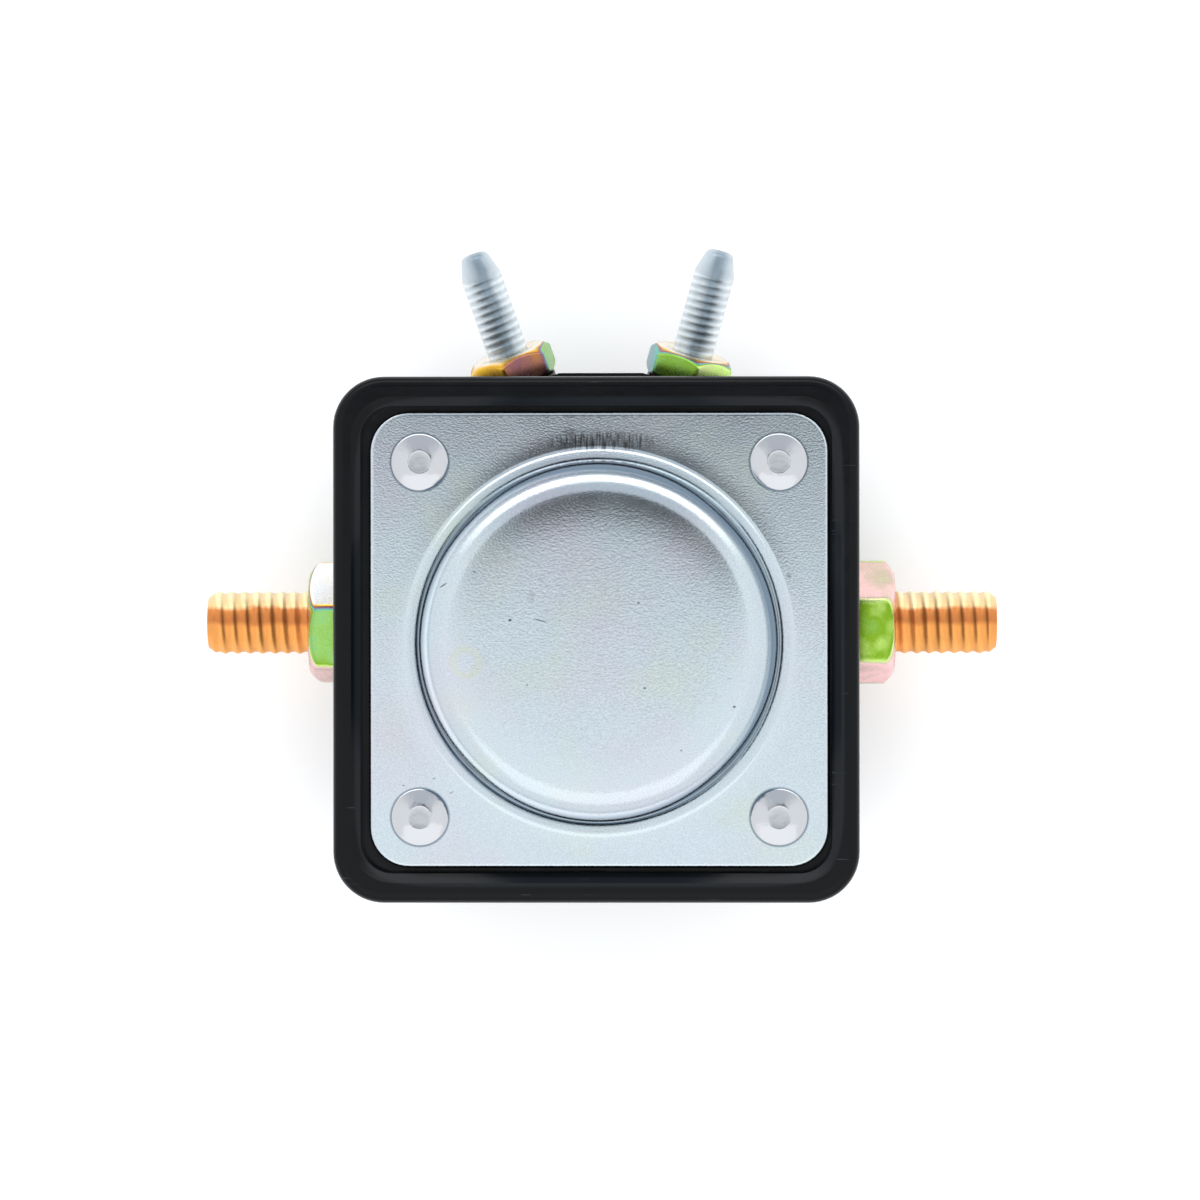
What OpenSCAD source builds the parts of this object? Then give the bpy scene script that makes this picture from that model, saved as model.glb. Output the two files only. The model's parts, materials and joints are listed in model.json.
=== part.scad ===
// Starter relay: a moulded square housing with a drawn steel cover, two copper line studs,
// two leaning coil studs, and the coil, plunger and contact disc that it holds.
// It lies on its back face. The dome axis is Z, the line studs lie along X, the coil studs point to +Y.

/* [Housing] */
// Width of the square rim, across the line studs
rim_w = 51.6; // [50.6:0.2:56]
// Length of the square rim, along the coil studs
rim_l = 51.6; // [50.6:0.2:56]
// Corner radius of the rim
rim_corner = 5; // [4.5:0.5:7]
// Depth of the rim band
rim_band = 6; // [5:0.5:8]
// Depth of the housing from its back face to the front of the rim
housing_depth = 32; // [31:0.5:36]
// How far the side walls stand in from the rim
wall_inset = 2.1; // [1.2:0.1:2.4]
// Thickness of the side walls
side_wall = 2.9; // [2.4:0.1:3.2]
// Thickness of the back wall
back_wall = 3; // [2.4:0.2:4]
// Rounding of the edges round the back face
back_edge = 1.2; // [0.6:0.2:2]
// Rounding of the outer front edge of the rim
rim_edge = 1; // [0.5:0.1:1.4]
// Width of the sloping band inside the front of the rim
rim_bevel = 0.9; // [0.5:0.1:1.4]
// How far the housing's middle lies from the dome axis, towards the coil studs
housing_rise = 0.2; // [0:0.1:0.6]

/* [Cover] */
// Width of the cover plate
plate_w = 45.2; // [44:0.2:45.6]
// Length of the cover plate
plate_l = 44.8; // [43.8:0.2:45.6]
// Corner radius of the cover plate
plate_corner = 4; // [3:0.5:5]
// Thickness of the cover sheet
sheet = 1.2; // [0.8:0.1:1.4]
// Depth of the plate's face below the front of the rim
plate_drop = 1; // [0.5:0.1:1.5]
// Gap between the cover plate and the rim
plate_gap = 0.5; // [0.3:0.05:0.6]
// How far right of the recess's middle the cover sits, as a share of the gap
aside_share = 0.6; // [-0.6:0.1:0.6]
// Corner radius of the recess that the plate lies in
recess_corner = 3.2; // [2.4:0.2:4.4]
// Flat left between the plate's nearer edges and the dome
dome_margin = 4.9; // [4.5:0.1:5.3]
// Height of the dome above the plate
dome_h = 9.5; // [8.5:0.1:12]
// Outer radius of the dome's shoulder
shoulder_r = 3; // [2:0.1:3.4]
// Radius of the fillet where the dome leaves the plate
root_r = 1.2; // [0.6:0.1:1.6]
// Thickness of the gasket under the plate
gasket_t = 0.8; // [0.5:0.1:1.2]

/* [Rivets] */
// Distance from the plate's edges to the middle of each rivet
rivet_inset = 5; // [4.8:0.1:5.2]
// Diameter of the rivet shank
rivet_d = 4; // [3:0.1:4.4]
// Diameter of the rivet head
rivet_head_d = 5.6; // [5:0.1:6.4]
// Height of the rivet head
rivet_head_h = 0.7; // [0.5:0.1:1.2]
// Diameter of the flat left by the tool on the rivet head
rivet_flat_d = 2.2; // [1.6:0.1:2.6]

/* [Line studs] */
// Diameter of the line studs
stud_d = 6.35; // [5:0.05:7]
// Distance from tip to tip of the two line studs
stud_span = 80.3; // [76:0.1:90]
// Height of the line stud axis above the back face
stud_z = 10; // [8.4:0.1:10.6]
// Offset of the line stud axis from the dome axis, towards the coil studs
stud_y = 1.8; // [0:0.1:3]
// Width of the line nut across its flats
nut_af = 11.11; // [10:0.01:12.7]
// Thickness of the line nut
nut_t = 5.56; // [4.5:0.01:6.5]
// Turn at which the left line nut came tight
left_nut_turn = 15; // [0:1:60]
// Turn at which the right line nut came tight
right_nut_turn = 9; // [0:1:60]
// Length of the stud's inner head along the stud
head_t = 4.5; // [4:0.1:4.7]
// Height of the stud's inner head
head_h = 7; // [6.6:0.1:8]
// Width of the stud's inner head
head_w = 9; // [8:0.1:10]

/* [Coil studs] */
// Diameter of the coil studs
coil_stud_d = 4.17; // [3.8:0.01:4.4]
// Length of the coil stud outside its seat
coil_stud_reach = 13.8; // [12:0.1:18]
// Angle that the left coil stud leans outwards
coil_lean_left = 19.2; // [10:0.1:22]
// Angle that the right coil stud leans outwards
coil_lean_right = 15.6; // [10:0.1:22]
// Angle that each coil stud tilts towards the dome
coil_stud_tilt = 12; // [8:0.5:14]
// Height of the coil stud's seat above the back face
seat_z = 13; // [12.5:0.1:13.5]
// Width of the coil nut across its flats
coil_nut_af = 7.94; // [7:0.01:8.5]
// Thickness of the coil nut
coil_nut_t = 3.18; // [2.5:0.01:4]
// Length of the unthreaded point at the stud's tip
point_len = 2.5; // [1.5:0.1:3]

/* [Coil] */
// Height under the coil cup for the contact spring and the rod's collar
spring_room = 4.95; // [4.8:0.05:5.4]
// Clearance between the coil cup and the inside of the dome
cup_clear = 0.2; // [0.1:0.05:0.5]
// Thickness of the bobbin's walls and flanges
bobbin_wall = 1; // [0.7:0.1:1.2]
// Thickness of the coil cup's floor
cup_floor = 1.8; // [1.4:0.1:2]
// Thickness of the coil cup's wall
cup_wall = 1.6; // [1.4:0.1:1.9]
// Diameter of the winding wire, drawn thick enough to see
wire_d = 0.8; // [0.5:0.1:1]
// Thickness of the tape over the winding
tape_t = 0.3; // [0.1:0.1:0.4]
// Diameter of the coil leads
lead_d = 1; // [0.8:0.1:1.2]

/* [Plunger and contacts] */
// Share of the bobbin's width that the plunger fills
plunger_share = 0.394; // [0.38:0.002:0.4]
// Travel of the plunger
stroke = 2.6; // [2.2:0.1:2.8]
// Part of the travel that is left once the contact disc has landed
overtravel = 0.6; // [0.3:0.1:0.8]
// Height of the fixed core above the cup's floor
core_h = 1.9; // [1.2:0.1:2.4]
// Diameter of the plunger rod
rod_d = 4; // [3.6:0.1:4.2]
// Radius of the contact disc
disc_r = 13.8; // [13.4:0.1:14.4]
// Thickness of the contact disc
disc_t = 1.6; // [1.2:0.1:1.8]
// Wire diameter of the two springs
spring_wire = 0.8; // [0.6:0.1:0.9]

/* [Hidden] */
$fn = 64;
sides = [-1, 1];
overrun = 1;

// Clearances
rest_gap = 0.05;
running_gap = 0.05;
fixed_gap = 0.02;
bolt_gap = 0.12;
cup_gap = 0.3;
seated_gap = 0.1;

// Housing
housing_aside = -aside_share * plate_gap;
wall_w = rim_w - 2 * wall_inset;
wall_l = rim_l - 2 * wall_inset;
wall_corner = rim_corner - wall_inset / 2;
cavity_w = wall_w - 2 * side_wall;
cavity_l = wall_l - 2 * side_wall;
cavity_corner = 2;
recess_w = plate_w + 2 * plate_gap;
recess_l = plate_l + 2 * plate_gap;
bevel_depth = 0.5;
rivet_pitch_x = plate_w - 2 * rivet_inset;
rivet_pitch_y = plate_l - 2 * rivet_inset;
plate_top = housing_depth - plate_drop;
plate_bottom = plate_top - sheet;
ledge_z = plate_bottom - gasket_t;
pillar_r = 4.6;
pillar_tail_r = 3.7;
pillar_tail_depth = 2.2;
rib_t = 3;
rib_gap = 1.3;
floor_post_r = 2.4;
floor_post_h = 3.2;
side_pad_r = 7.6;
side_pad_t = 0.2;

// Roof that carries the coil studs
crest_to_seat = 4.25;
seat_x_share = 0.48;
seat_x = seat_x_share * rivet_pitch_x / 2;
roof_crest = 2 * (seat_x - crest_to_seat);
wall_top_y = housing_rise + wall_l / 2;
roof_rise = 3.05;
roof_start = 4.5;
roof_len = 12.5;
coil_boss_rise = 2.3;
coil_boss_r = 3.9;
coil_boss_depth = 6.6;
coil_pad_r = 4.4;
seat_y = wall_top_y + coil_boss_rise;
spot_r = coil_nut_af / sqrt(3) + cup_gap;

// Cover
ceiling_z = plate_top + dome_h - sheet;
dome_r = min(plate_w, plate_l) / 2 - dome_margin;
dome_in_r = dome_r - sheet;
plate_edge = 0.4;
gasket_proud = 0.1;
gasket_edge = 0.1;

// Rivets
rivet_hole_r = rivet_d / 2 + bolt_gap;
rivet_tail_r = 3;
rivet_tail_h = 1.3;
rivet_edge = 0.2;
rivet_crown = rivet_head_h - rivet_edge;
rivet_head_r = (pow(rivet_head_d / 2, 2) + pow(rivet_crown, 2)) / (2 * rivet_crown);
rivet_top_h = rivet_head_h - rivet_head_r + sqrt(pow(rivet_head_r, 2) - pow(rivet_flat_d / 2, 2));
rivet_tail_z = pillar_tail_depth;
rib_end = norm([rivet_pitch_x, rivet_pitch_y]) / 2 - (pillar_r + rivet_hole_r) / 2;

// Line studs
seat_at = wall_w / 2 + abs(housing_aside) + side_pad_t;
boss_in = 16.5;
boss_out = (wall_w - side_wall) / 2;
boss_w = 11;
boss_top = 15.2;
seal_t = 0.8;
seal_w = 9.4;
seal_h = 8;
head_out = boss_in - seal_t;
head_in = head_out - head_t;
head_corner = 0.8;
head_top = stud_z + head_h / 2;
stud_chamfer = 0.8;
stud_chamfer_in = 0.6;
nut_chamfer_angle = 30;
stud_root_share = 0.82;
stud_root_r = stud_root_share * stud_d / 2;

// Coil studs
coil_head_r = 3.3;
coil_head_t = 1.6;
coil_head_slot_w = 0.9;
coil_head_slot_d = 0.6;
coil_seal_t = 0.5;
lug_t = 0.5;
lug_r = 3.1;
lug_tail_w = 2.6;
lug_tail_len = 4.2;
point_d = 2.9;
point_edge = 0.4;
coil_nut_turn = 12;
coil_root_r = stud_root_share * coil_stud_d / 2;

// Contacts
touch_gap = 0.05;
disc_bottom = head_top + stroke - overtravel + touch_gap;
disc_top = disc_bottom + disc_t;
bush_t = 1.1;
bush_upper_r = 6;
bush_lower_r = 5.2;
bush_spigot_r = 3.2;
bush_upper_top = disc_top + bush_t;
bush_lower_bottom = disc_bottom - bush_t;
clip_t = 0.8;
clip_r = 4.3;
clip_neck_r = 1.6;
clip_top = bush_lower_bottom - rest_gap;
clip_bottom = clip_top - clip_t;
clip_mouth = 2.7;
clip_lobe_r = 0.8;
clip_lobe_at = 2.4;
rod_below_clip = 1.4;
rod_bottom = clip_bottom - rod_below_clip;
rod_edge = 0.4;

// Coil
bobbin_top = ceiling_z - rest_gap;
cup_bottom = bush_upper_top + spring_room;
cup_floor_top = cup_bottom + cup_floor;
bobbin_bottom = cup_floor_top + rest_gap;
cup_top_drop = 1.5;
cup_top = ceiling_z - cup_top_drop;
cup_r = dome_in_r - cup_clear;
cup_in_r = cup_r - cup_wall;
bobbin_r = cup_in_r - cup_gap;
cup_edge = 0.8;
lead_x = 5.2;
lead_in = 1.3;
lead_y = sqrt(pow(bobbin_r - lead_in, 2) - pow(lead_x, 2));
lead_hole_r = 1.4;
lead_notch_r = 0.7;
lead_drop = 1.2;
lead_knee = 0.06;
lead_rise = 2;
lead_grip_share = 0.5;
ridge_sink_share = 0.15;
tube_wall = 0.35;
plunger_d = plunger_share * 2 * bobbin_r;
tube_in_r = plunger_d / 2 + running_gap;
tube_out_r = tube_in_r + tube_wall;
tube_top_drop = 0.8;
bobbin_in_r = tube_out_r + rest_gap;
bobbin_core_r = bobbin_in_r + bobbin_wall;
winding_in_r = bobbin_core_r + fixed_gap;
winding_out_r = bobbin_r - tape_t - 2 * rest_gap - wire_d / 2;
winding_low = bobbin_bottom + bobbin_wall + fixed_gap;
winding_high = bobbin_top - bobbin_wall - fixed_gap;
turns_shown = floor((winding_high - winding_low) / wire_d);
turn_step = (winding_high - winding_low) / turns_shown;
tape_in_r = winding_out_r + wire_d / 2;
tape_margin_share = 0.08;
tape_margin = tape_margin_share * (bobbin_top - bobbin_bottom);

// Plunger
core_spigot_r = 4;
core_top = cup_floor_top + core_h;
pad_margin = 0.6;
pad_r = plunger_d / 2 - pad_margin;
pad_t = 0.7;
plunger_top = ceiling_z - pad_t - rest_gap;
plunger_bottom = core_top + stroke + seated_gap;
plunger_edge = 0.5;
disc_edge = 0.4;
rod_gap = 0.08;
rod_bore_r = rod_d / 2 + rod_gap;
rod_grip_share = 0.67;
rod_grip = rod_grip_share * (plunger_top - plunger_bottom);
collar_r = 4.4;
collar_t = 1;
collar_top = cup_bottom - seated_gap;
collar_bottom = collar_top - collar_t;

// Springs
spring_sides = 6;
spring_steps = 14;
contact_spring_r = 3.5;
contact_spring_turns = 3;
return_spring_r = 3.3;
return_spring_turns = 5.5;
closed_share = 1.05;

// Flat rectangle with round corners
module round_rect(w, l, r) {
    square([w - 2 * r, l], center = true);
    square([w, l - 2 * r], center = true);
    for (x = sides, y = sides)
        translate([x * (w / 2 - r), y * (l / 2 - r)]) circle(r);
}

// Half outline of a slab, from its middle plane to its rounded edge
module edge_profile(reach, h, low_edge, high_edge) {
    translate([0, low_edge]) square([reach, h - low_edge - high_edge]);
    square([reach - low_edge, h - high_edge]);
    translate([0, low_edge]) square([reach - high_edge, h - low_edge]);
    if (low_edge > 0) translate([reach - low_edge, low_edge]) circle(low_edge);
    if (high_edge > 0) translate([reach - high_edge, h - high_edge]) circle(high_edge);
}

// Slab standing on Z zero with round corners and rounded lower and upper edges
module soft_slab(w, l, r, h, low_edge, high_edge) {
    for (turn = [0, 90, 180, 270]) {
        reach = turn % 180 == 0 ? w / 2 : l / 2;
        across = turn % 180 == 0 ? l : w;
        rotate([90, 0, turn])
            translate([0, 0, r - across / 2])
                linear_extrude(across - 2 * r) edge_profile(reach, h, low_edge, high_edge);
    }
    for (x = sides, y = sides)
        translate([x * (w / 2 - r), y * (l / 2 - r), 0])
            rotate_extrude() edge_profile(r, h, low_edge, high_edge);
}

// Round bar along Z between two heights
module bar(r, low, high) {
    translate([0, 0, low]) cylinder(r = r, h = high - low);
}

// Places something at each rivet
module at_rivets() {
    for (x = sides, y = sides)
        translate([x * rivet_pitch_x / 2, y * rivet_pitch_y / 2, 0]) children();
}

// Turns Z to point out of one side wall, along the line stud, with zero on the dome axis
module along_line_stud(side) {
    translate([0, stud_y, stud_z]) rotate([0, side * 90, 0]) children();
}

// Angle that one coil stud leans outwards
function coil_lean(side) = side < 0 ? coil_lean_left : coil_lean_right;

// Turns Z to point out along one coil stud, with zero on its seat
module along_coil_stud(side) {
    translate([side * seat_x, seat_y, seat_z])
        rotate([coil_stud_tilt - 90, 0, -side * coil_lean(side)]) children();
}

// Hexagon nut on Z zero with both ends chamfered and a plain bore
module hex_nut(af, t, bore_r) {
    corner_r = af / sqrt(3);
    chamfer_h = (corner_r - af / 2) * tan(nut_chamfer_angle);
    difference() {
        intersection() {
            rotate([0, 0, 30]) cylinder(r = corner_r, h = t, $fn = 6);
            rotate_extrude()
                polygon([[0, 0], [af / 2, 0], [corner_r, chamfer_h], [corner_r, t - chamfer_h],
                         [af / 2, t], [0, t]]);
        }
        bar(bore_r, -overrun, t + overrun);
    }
}

// Points on a spring's path: closed end turns, and open turns between them
function spring_lift(turn, turns, step, rise) =
    turn < 1 ? turn * step
    : turn > turns - 1 ? rise - (turns - turn) * step
    : step + (turn - 1) * (rise - 2 * step) / (turns - 2);

// Round wire wound along Z, as one tube
module spring(r, low, high, turns) {
    wire_r = spring_wire / 2;
    rise = high - low - spring_wire;
    steps = round(turns * spring_steps);
    ring_points = [for (i = [0:steps], k = [0:spring_sides - 1])
        let (a = 360 * i / spring_steps, b = 360 * k / spring_sides, reach = r + wire_r * cos(b))
        [reach * cos(a), reach * sin(a),
         low + wire_r + spring_lift(i / spring_steps, turns, closed_share * spring_wire, rise)
         + wire_r * sin(b)]];
    walls = [for (i = [0:steps - 1], k = [0:spring_sides - 1])
        let (a = i * spring_sides + k, b = i * spring_sides + (k + 1) % spring_sides)
        [a, b, b + spring_sides, a + spring_sides]];
    low_end = [for (k = [spring_sides - 1:-1:0]) k];
    high_end = [for (k = [0:spring_sides - 1]) steps * spring_sides + k];
    polyhedron(ring_points, concat([low_end], walls, [high_end]), convexity = 4);
}

// Where the roof's slope meets the top wall, square to the coil stud on that side
function roof_foot(side) = side * (roof_crest / 2 + roof_rise / tan(coil_lean(side)));

// Outer form of the moulding, before it is hollowed
module housing_body() {
    translate([housing_aside, housing_rise, 0]) {
        soft_slab(wall_w, wall_l, wall_corner, housing_depth - rim_band + overrun, back_edge, 0);
        translate([0, 0, housing_depth - rim_band])
            soft_slab(rim_w, rim_l, rim_corner, rim_band, 0, rim_edge);
    }
    for (side = sides) along_line_stud(side) bar(side_pad_r, 0, seat_at);
    translate([0, wall_top_y, roof_start])
        linear_extrude(roof_len)
            polygon([[roof_foot(-1), 0], [-roof_crest / 2, roof_rise], [roof_crest / 2, roof_rise],
                     [roof_foot(1), 0], [roof_foot(1), -side_wall], [roof_foot(-1), -side_wall]]);
    for (side = sides) along_coil_stud(side) bar(coil_boss_r, -coil_boss_depth, 0);
}

// Space inside the moulding, without its posts and bosses
module housing_cavity() {
    translate([housing_aside, housing_rise, 0]) {
        translate([0, 0, back_wall])
            linear_extrude(housing_depth) round_rect(cavity_w, cavity_l, cavity_corner);
        translate([0, 0, ledge_z])
            linear_extrude(housing_depth) round_rect(recess_w, recess_l, recess_corner);
    }
}

// Posts and bosses that stand in the cavity
module housing_inside() {
    at_rivets() bar(pillar_r, back_edge, ledge_z);
    for (turn = [45:90:315])
        rotate([0, 0, turn])
            translate([disc_r + rib_gap, -rib_t / 2, back_edge])
                cube([rib_end - disc_r - rib_gap, rib_t, ledge_z - back_edge]);
    for (side = sides)
        translate([side > 0 ? boss_in : -boss_out, stud_y - boss_w / 2, back_edge])
            cube([boss_out - boss_in, boss_w, boss_top - back_edge]);
    for (side = sides) along_coil_stud(side) bar(coil_pad_r, -coil_boss_depth, -coil_boss_rise);
    bar(floor_post_r, back_edge, back_wall + floor_post_h);
}

module housing() {
    color("#1b1c1e")
        difference() {
            union() {
                difference() {
                    housing_body();
                    housing_cavity();
                }
                housing_inside();
            }
            translate([housing_aside, housing_rise, housing_depth - bevel_depth])
                rim_mouth();
            bar(cup_r + cup_gap, cup_bottom, ledge_z + overrun);
            at_rivets() bar(rivet_hole_r, -overrun, housing_depth);
            at_rivets() bar(pillar_tail_r, -overrun, pillar_tail_depth);
            for (side = sides) {
                along_line_stud(side) bar(stud_d / 2 + bolt_gap, 0, seat_at + overrun);
                along_coil_stud(side) bar(coil_stud_d / 2 + bolt_gap, -coil_boss_depth - overrun, overrun);
                along_coil_stud(side) bar(spot_r, 0, coil_stud_reach);
                along_coil_stud(side)
                    bar(coil_pad_r + cup_gap, -coil_boss_depth - coil_stud_reach / 2, -coil_boss_depth);
            }
        }
}

// Sloping band inside the front edge of the rim, as a ring of wedges to cut away
module rim_mouth() {
    for (turn = [0, 90, 180, 270]) {
        reach = turn % 180 == 0 ? recess_w / 2 : recess_l / 2;
        across = turn % 180 == 0 ? recess_l : recess_w;
        rotate([90, 0, turn])
            translate([0, 0, recess_corner - across / 2])
                linear_extrude(across - 2 * recess_corner) mouth_profile(reach);
    }
    for (x = sides, y = sides)
        translate([x * (recess_w / 2 - recess_corner), y * (recess_l / 2 - recess_corner), 0])
            rotate_extrude() mouth_profile(recess_corner);
}

// Half outline of the sloping band's cut
module mouth_profile(reach) {
    slope = bevel_depth / rim_bevel;
    polygon([[0, 0], [reach, 0], [reach + rim_bevel + overrun / slope, bevel_depth + overrun],
             [0, bevel_depth + overrun]]);
}

// Half section of the drawn dome, from its axis out
module dome_profile() {
    difference() {
        union() {
            translate([0, plate_bottom]) square([dome_r, sheet]);
            translate([0, plate_bottom]) square([dome_r, dome_h + sheet - shoulder_r]);
            translate([0, plate_bottom]) square([dome_r - shoulder_r, dome_h + sheet]);
            translate([dome_r - shoulder_r, plate_top + dome_h - shoulder_r]) circle(shoulder_r);
            difference() {
                translate([0, plate_bottom]) square([dome_r + root_r, sheet + root_r]);
                translate([dome_r + root_r, plate_top + root_r]) circle(root_r);
            }
        }
        dome_hollow();
    }
}

// Half section of the space inside the dome
module dome_hollow() {
    inner_r = shoulder_r - sheet;
    low = plate_bottom - overrun;
    translate([0, low]) square([dome_in_r, ceiling_z - inner_r - low]);
    translate([0, low]) square([dome_in_r - inner_r, ceiling_z - low]);
    translate([dome_in_r - inner_r, ceiling_z - inner_r]) circle(inner_r);
    difference() {
        translate([0, low]) square([dome_in_r + root_r, root_r + overrun]);
        translate([dome_in_r + root_r, plate_bottom + root_r]) circle(root_r);
    }
}

module cover() {
    color("#c3cbd2")
        difference() {
            union() {
                difference() {
                    translate([0, housing_rise, plate_bottom])
                        soft_slab(plate_w, plate_l, plate_corner, sheet, 0, plate_edge);
                    bar(dome_r + root_r / 2, plate_bottom - overrun, plate_top + overrun);
                }
                rotate_extrude() dome_profile();
            }
            at_rivets() bar(rivet_hole_r, plate_bottom - overrun, plate_top + overrun);
        }
}

module gasket() {
    color("#26302c")
        translate([0, 0, ledge_z])
            difference() {
                translate([0, housing_rise, 0])
                    linear_extrude(gasket_t)
                        round_rect(plate_w + gasket_proud, plate_l + gasket_proud, plate_corner + gasket_edge);
                bar(dome_in_r + root_r, -overrun, gasket_t + overrun);
                at_rivets() bar(rivet_hole_r, -overrun, gasket_t + overrun);
            }
}

// One rivet, from the formed tail in the back face to the head on the plate
module rivet() {
    bar(rivet_d / 2, rivet_tail_z, plate_top);
    bar(rivet_tail_r, rivet_tail_z - rivet_tail_h, rivet_tail_z);
    translate([0, 0, plate_top])
        rotate_extrude()
            intersection() {
                translate([0, rivet_head_h - rivet_head_r]) circle(rivet_head_r);
                square([rivet_head_d / 2, rivet_top_h]);
            }
}

module rivets() {
    color("#c9ced3") at_rivets() rivet();
}

// Copper stud with a square inner head that the contact disc lands on. It is at its thread's root
// inside the nut and at its crest outside
module line_stud(side) {
    color("#d98545")
        along_line_stud(side) {
            translate([0, 0, head_in])
                linear_extrude(head_out - head_in) round_rect(head_h, head_w, head_corner);
            bar(stud_d / 2, head_out - overrun, seat_at - rest_gap);
            bar(stud_root_r, seat_at - overrun, seat_at + nut_t + overrun);
            bar(stud_d / 2, seat_at + nut_t + rest_gap, stud_span / 2 - stud_chamfer);
            translate([0, 0, stud_span / 2 - stud_chamfer])
                cylinder(r1 = stud_d / 2, r2 = stud_d / 2 - stud_chamfer_in, h = stud_chamfer);
        }
}

module line_stud_left() {
    line_stud(-1);
}

module line_stud_right() {
    line_stud(1);
}

// Nut against the side wall, with yellow zinc plating, turned as it was tightened
module line_nut(side, turn) {
    color("#b9bf6a")
        along_line_stud(side)
            translate([0, 0, seat_at])
                rotate([0, 0, side * turn]) hex_nut(nut_af, nut_t, stud_root_r + rest_gap);
}

module line_nut_left() {
    line_nut(-1, left_nut_turn);
}

module line_nut_right() {
    line_nut(1, right_nut_turn);
}

// Square washer between each stud's inner head and the moulding
module line_stud_seals() {
    color("#3b2f28")
        for (side = sides)
            along_line_stud(side)
                difference() {
                    translate([0, 0, head_out]) linear_extrude(seal_t) round_rect(seal_h, seal_w, head_corner);
                    bar(stud_d / 2 + rest_gap, head_out - overrun, boss_in + overrun);
                }
}

// Steel stud with a slotted inner head and a plain tapered point
module coil_stud(side) {
    head_top_t = -coil_boss_depth - coil_seal_t - lug_t;
    point_start = coil_stud_reach - point_len;
    color("#aab4bd")
        along_coil_stud(side) {
            difference() {
                bar(coil_head_r, head_top_t - coil_head_t, head_top_t);
                translate([-coil_head_r - overrun, -coil_head_slot_w / 2,
                           head_top_t - coil_head_t - overrun])
                    cube([2 * (coil_head_r + overrun), coil_head_slot_w, coil_head_slot_d + overrun]);
            }
            bar(coil_stud_d / 2, head_top_t, -rest_gap);
            bar(coil_root_r, -overrun, coil_nut_t + overrun);
            bar(coil_stud_d / 2, coil_nut_t + rest_gap, point_start);
            translate([0, 0, point_start])
                cylinder(d1 = coil_stud_d, d2 = point_d, h = point_len - point_edge);
            translate([0, 0, coil_stud_reach - point_edge])
                cylinder(d1 = point_d, d2 = point_d - 2 * point_edge, h = point_edge);
        }
}

module coil_stud_left() {
    coil_stud(-1);
}

module coil_stud_right() {
    coil_stud(1);
}

module coil_nut(side) {
    color("#c2b04e")
        along_coil_stud(side)
            rotate([0, 0, side * coil_nut_turn])
                hex_nut(coil_nut_af, coil_nut_t, coil_root_r + rest_gap);
}

module coil_nut_left() {
    coil_nut(-1);
}

module coil_nut_right() {
    coil_nut(1);
}

// Washer that seals each coil stud's hole from the inside
module coil_stud_seals() {
    color("#3b2f28")
        for (side = sides)
            along_coil_stud(side)
                difference() {
                    bar(lug_r, -coil_boss_depth - coil_seal_t, -coil_boss_depth);
                    bar(coil_stud_d / 2 + rest_gap, -coil_boss_depth - coil_seal_t - overrun,
                        -coil_boss_depth + overrun);
                }
}

// Eyelet under the coil stud's inner head, with a tail for the coil's lead
module coil_lug(side) {
    low = -coil_boss_depth - coil_seal_t - lug_t;
    color("#d8b25c")
        along_coil_stud(side)
            difference() {
                union() {
                    bar(lug_r, low, low + lug_t);
                    translate([-lug_tail_w / 2, -lug_tail_len, low]) cube([lug_tail_w, lug_tail_len, lug_t]);
                }
                bar(coil_stud_d / 2 + rest_gap, low - overrun, low + lug_t + overrun);
            }
}

module coil_lug_left() {
    coil_lug(-1);
}

module coil_lug_right() {
    coil_lug(1);
}

// Where a point in a coil stud's own frame lies in the part's frame
function coil_place(side, p) =
    let (a = coil_stud_tilt - 90, b = -side * coil_lean(side),
         y = p.y * cos(a) - p.z * sin(a), z = p.y * sin(a) + p.z * cos(a))
    [side * seat_x + p.x * cos(b) - y * sin(b), seat_y + p.x * sin(b) + y * cos(b), seat_z + z];

// Round rod between two points
module strut(from, to, r) {
    span = to - from;
    translate(from)
        rotate([0, acos(span.z / norm(span)), atan2(span.y, span.x)]) cylinder(r = r, h = norm(span));
}

// Insulated wire from the bobbin's flange, through the cup's floor, down to the lug's tail
module coil_lead(side) {
    under_lug = -coil_boss_depth - coil_seal_t - lug_t - lead_d / 2 - fixed_gap;
    route = [[side * lead_x, lead_y, bobbin_bottom + bobbin_wall / 2],
             [side * lead_x, lead_y, cup_bottom - lead_drop],
             coil_place(side, [0, -lug_tail_len - lead_rise, under_lug]),
             coil_place(side, [0, -lug_tail_len * lead_grip_share - lug_r * lead_grip_share, under_lug])];
    color("#8c2f2a")
        union() {
            for (i = [0:len(route) - 2]) strut(route[i], route[i + 1], lead_d / 2);
            for (i = [1:len(route) - 2]) translate(route[i]) sphere(lead_d / 2 + lead_knee);
        }
}

module coil_lead_left() {
    coil_lead(-1);
}

module coil_lead_right() {
    coil_lead(1);
}

// Drawn steel cup round the coil, standing on the steps of the housing's four ribs
module coil_cup() {
    color("#9aa2a8")
        difference() {
            rotate_extrude()
                difference() {
                    translate([0, cup_bottom]) edge_profile(cup_r, cup_top - cup_bottom, cup_edge, 0);
                    translate([0, cup_floor_top]) square([cup_in_r, cup_top]);
                }
            bar(core_spigot_r + fixed_gap, cup_bottom - overrun, cup_floor_top + overrun);
            for (side = sides)
                translate([side * lead_x, lead_y, 0])
                    bar(lead_hole_r, cup_bottom - overrun, cup_floor_top + overrun);
        }
}

// Steel pole under the plunger, staked into the cup's floor
module fixed_core() {
    color("#8f979d")
        difference() {
            union() {
                bar(plunger_d / 2, cup_floor_top, core_top);
                bar(core_spigot_r, cup_bottom, cup_floor_top + core_h / 2);
            }
            bar(rod_bore_r, cup_bottom - overrun, core_top + overrun);
        }
}

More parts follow.
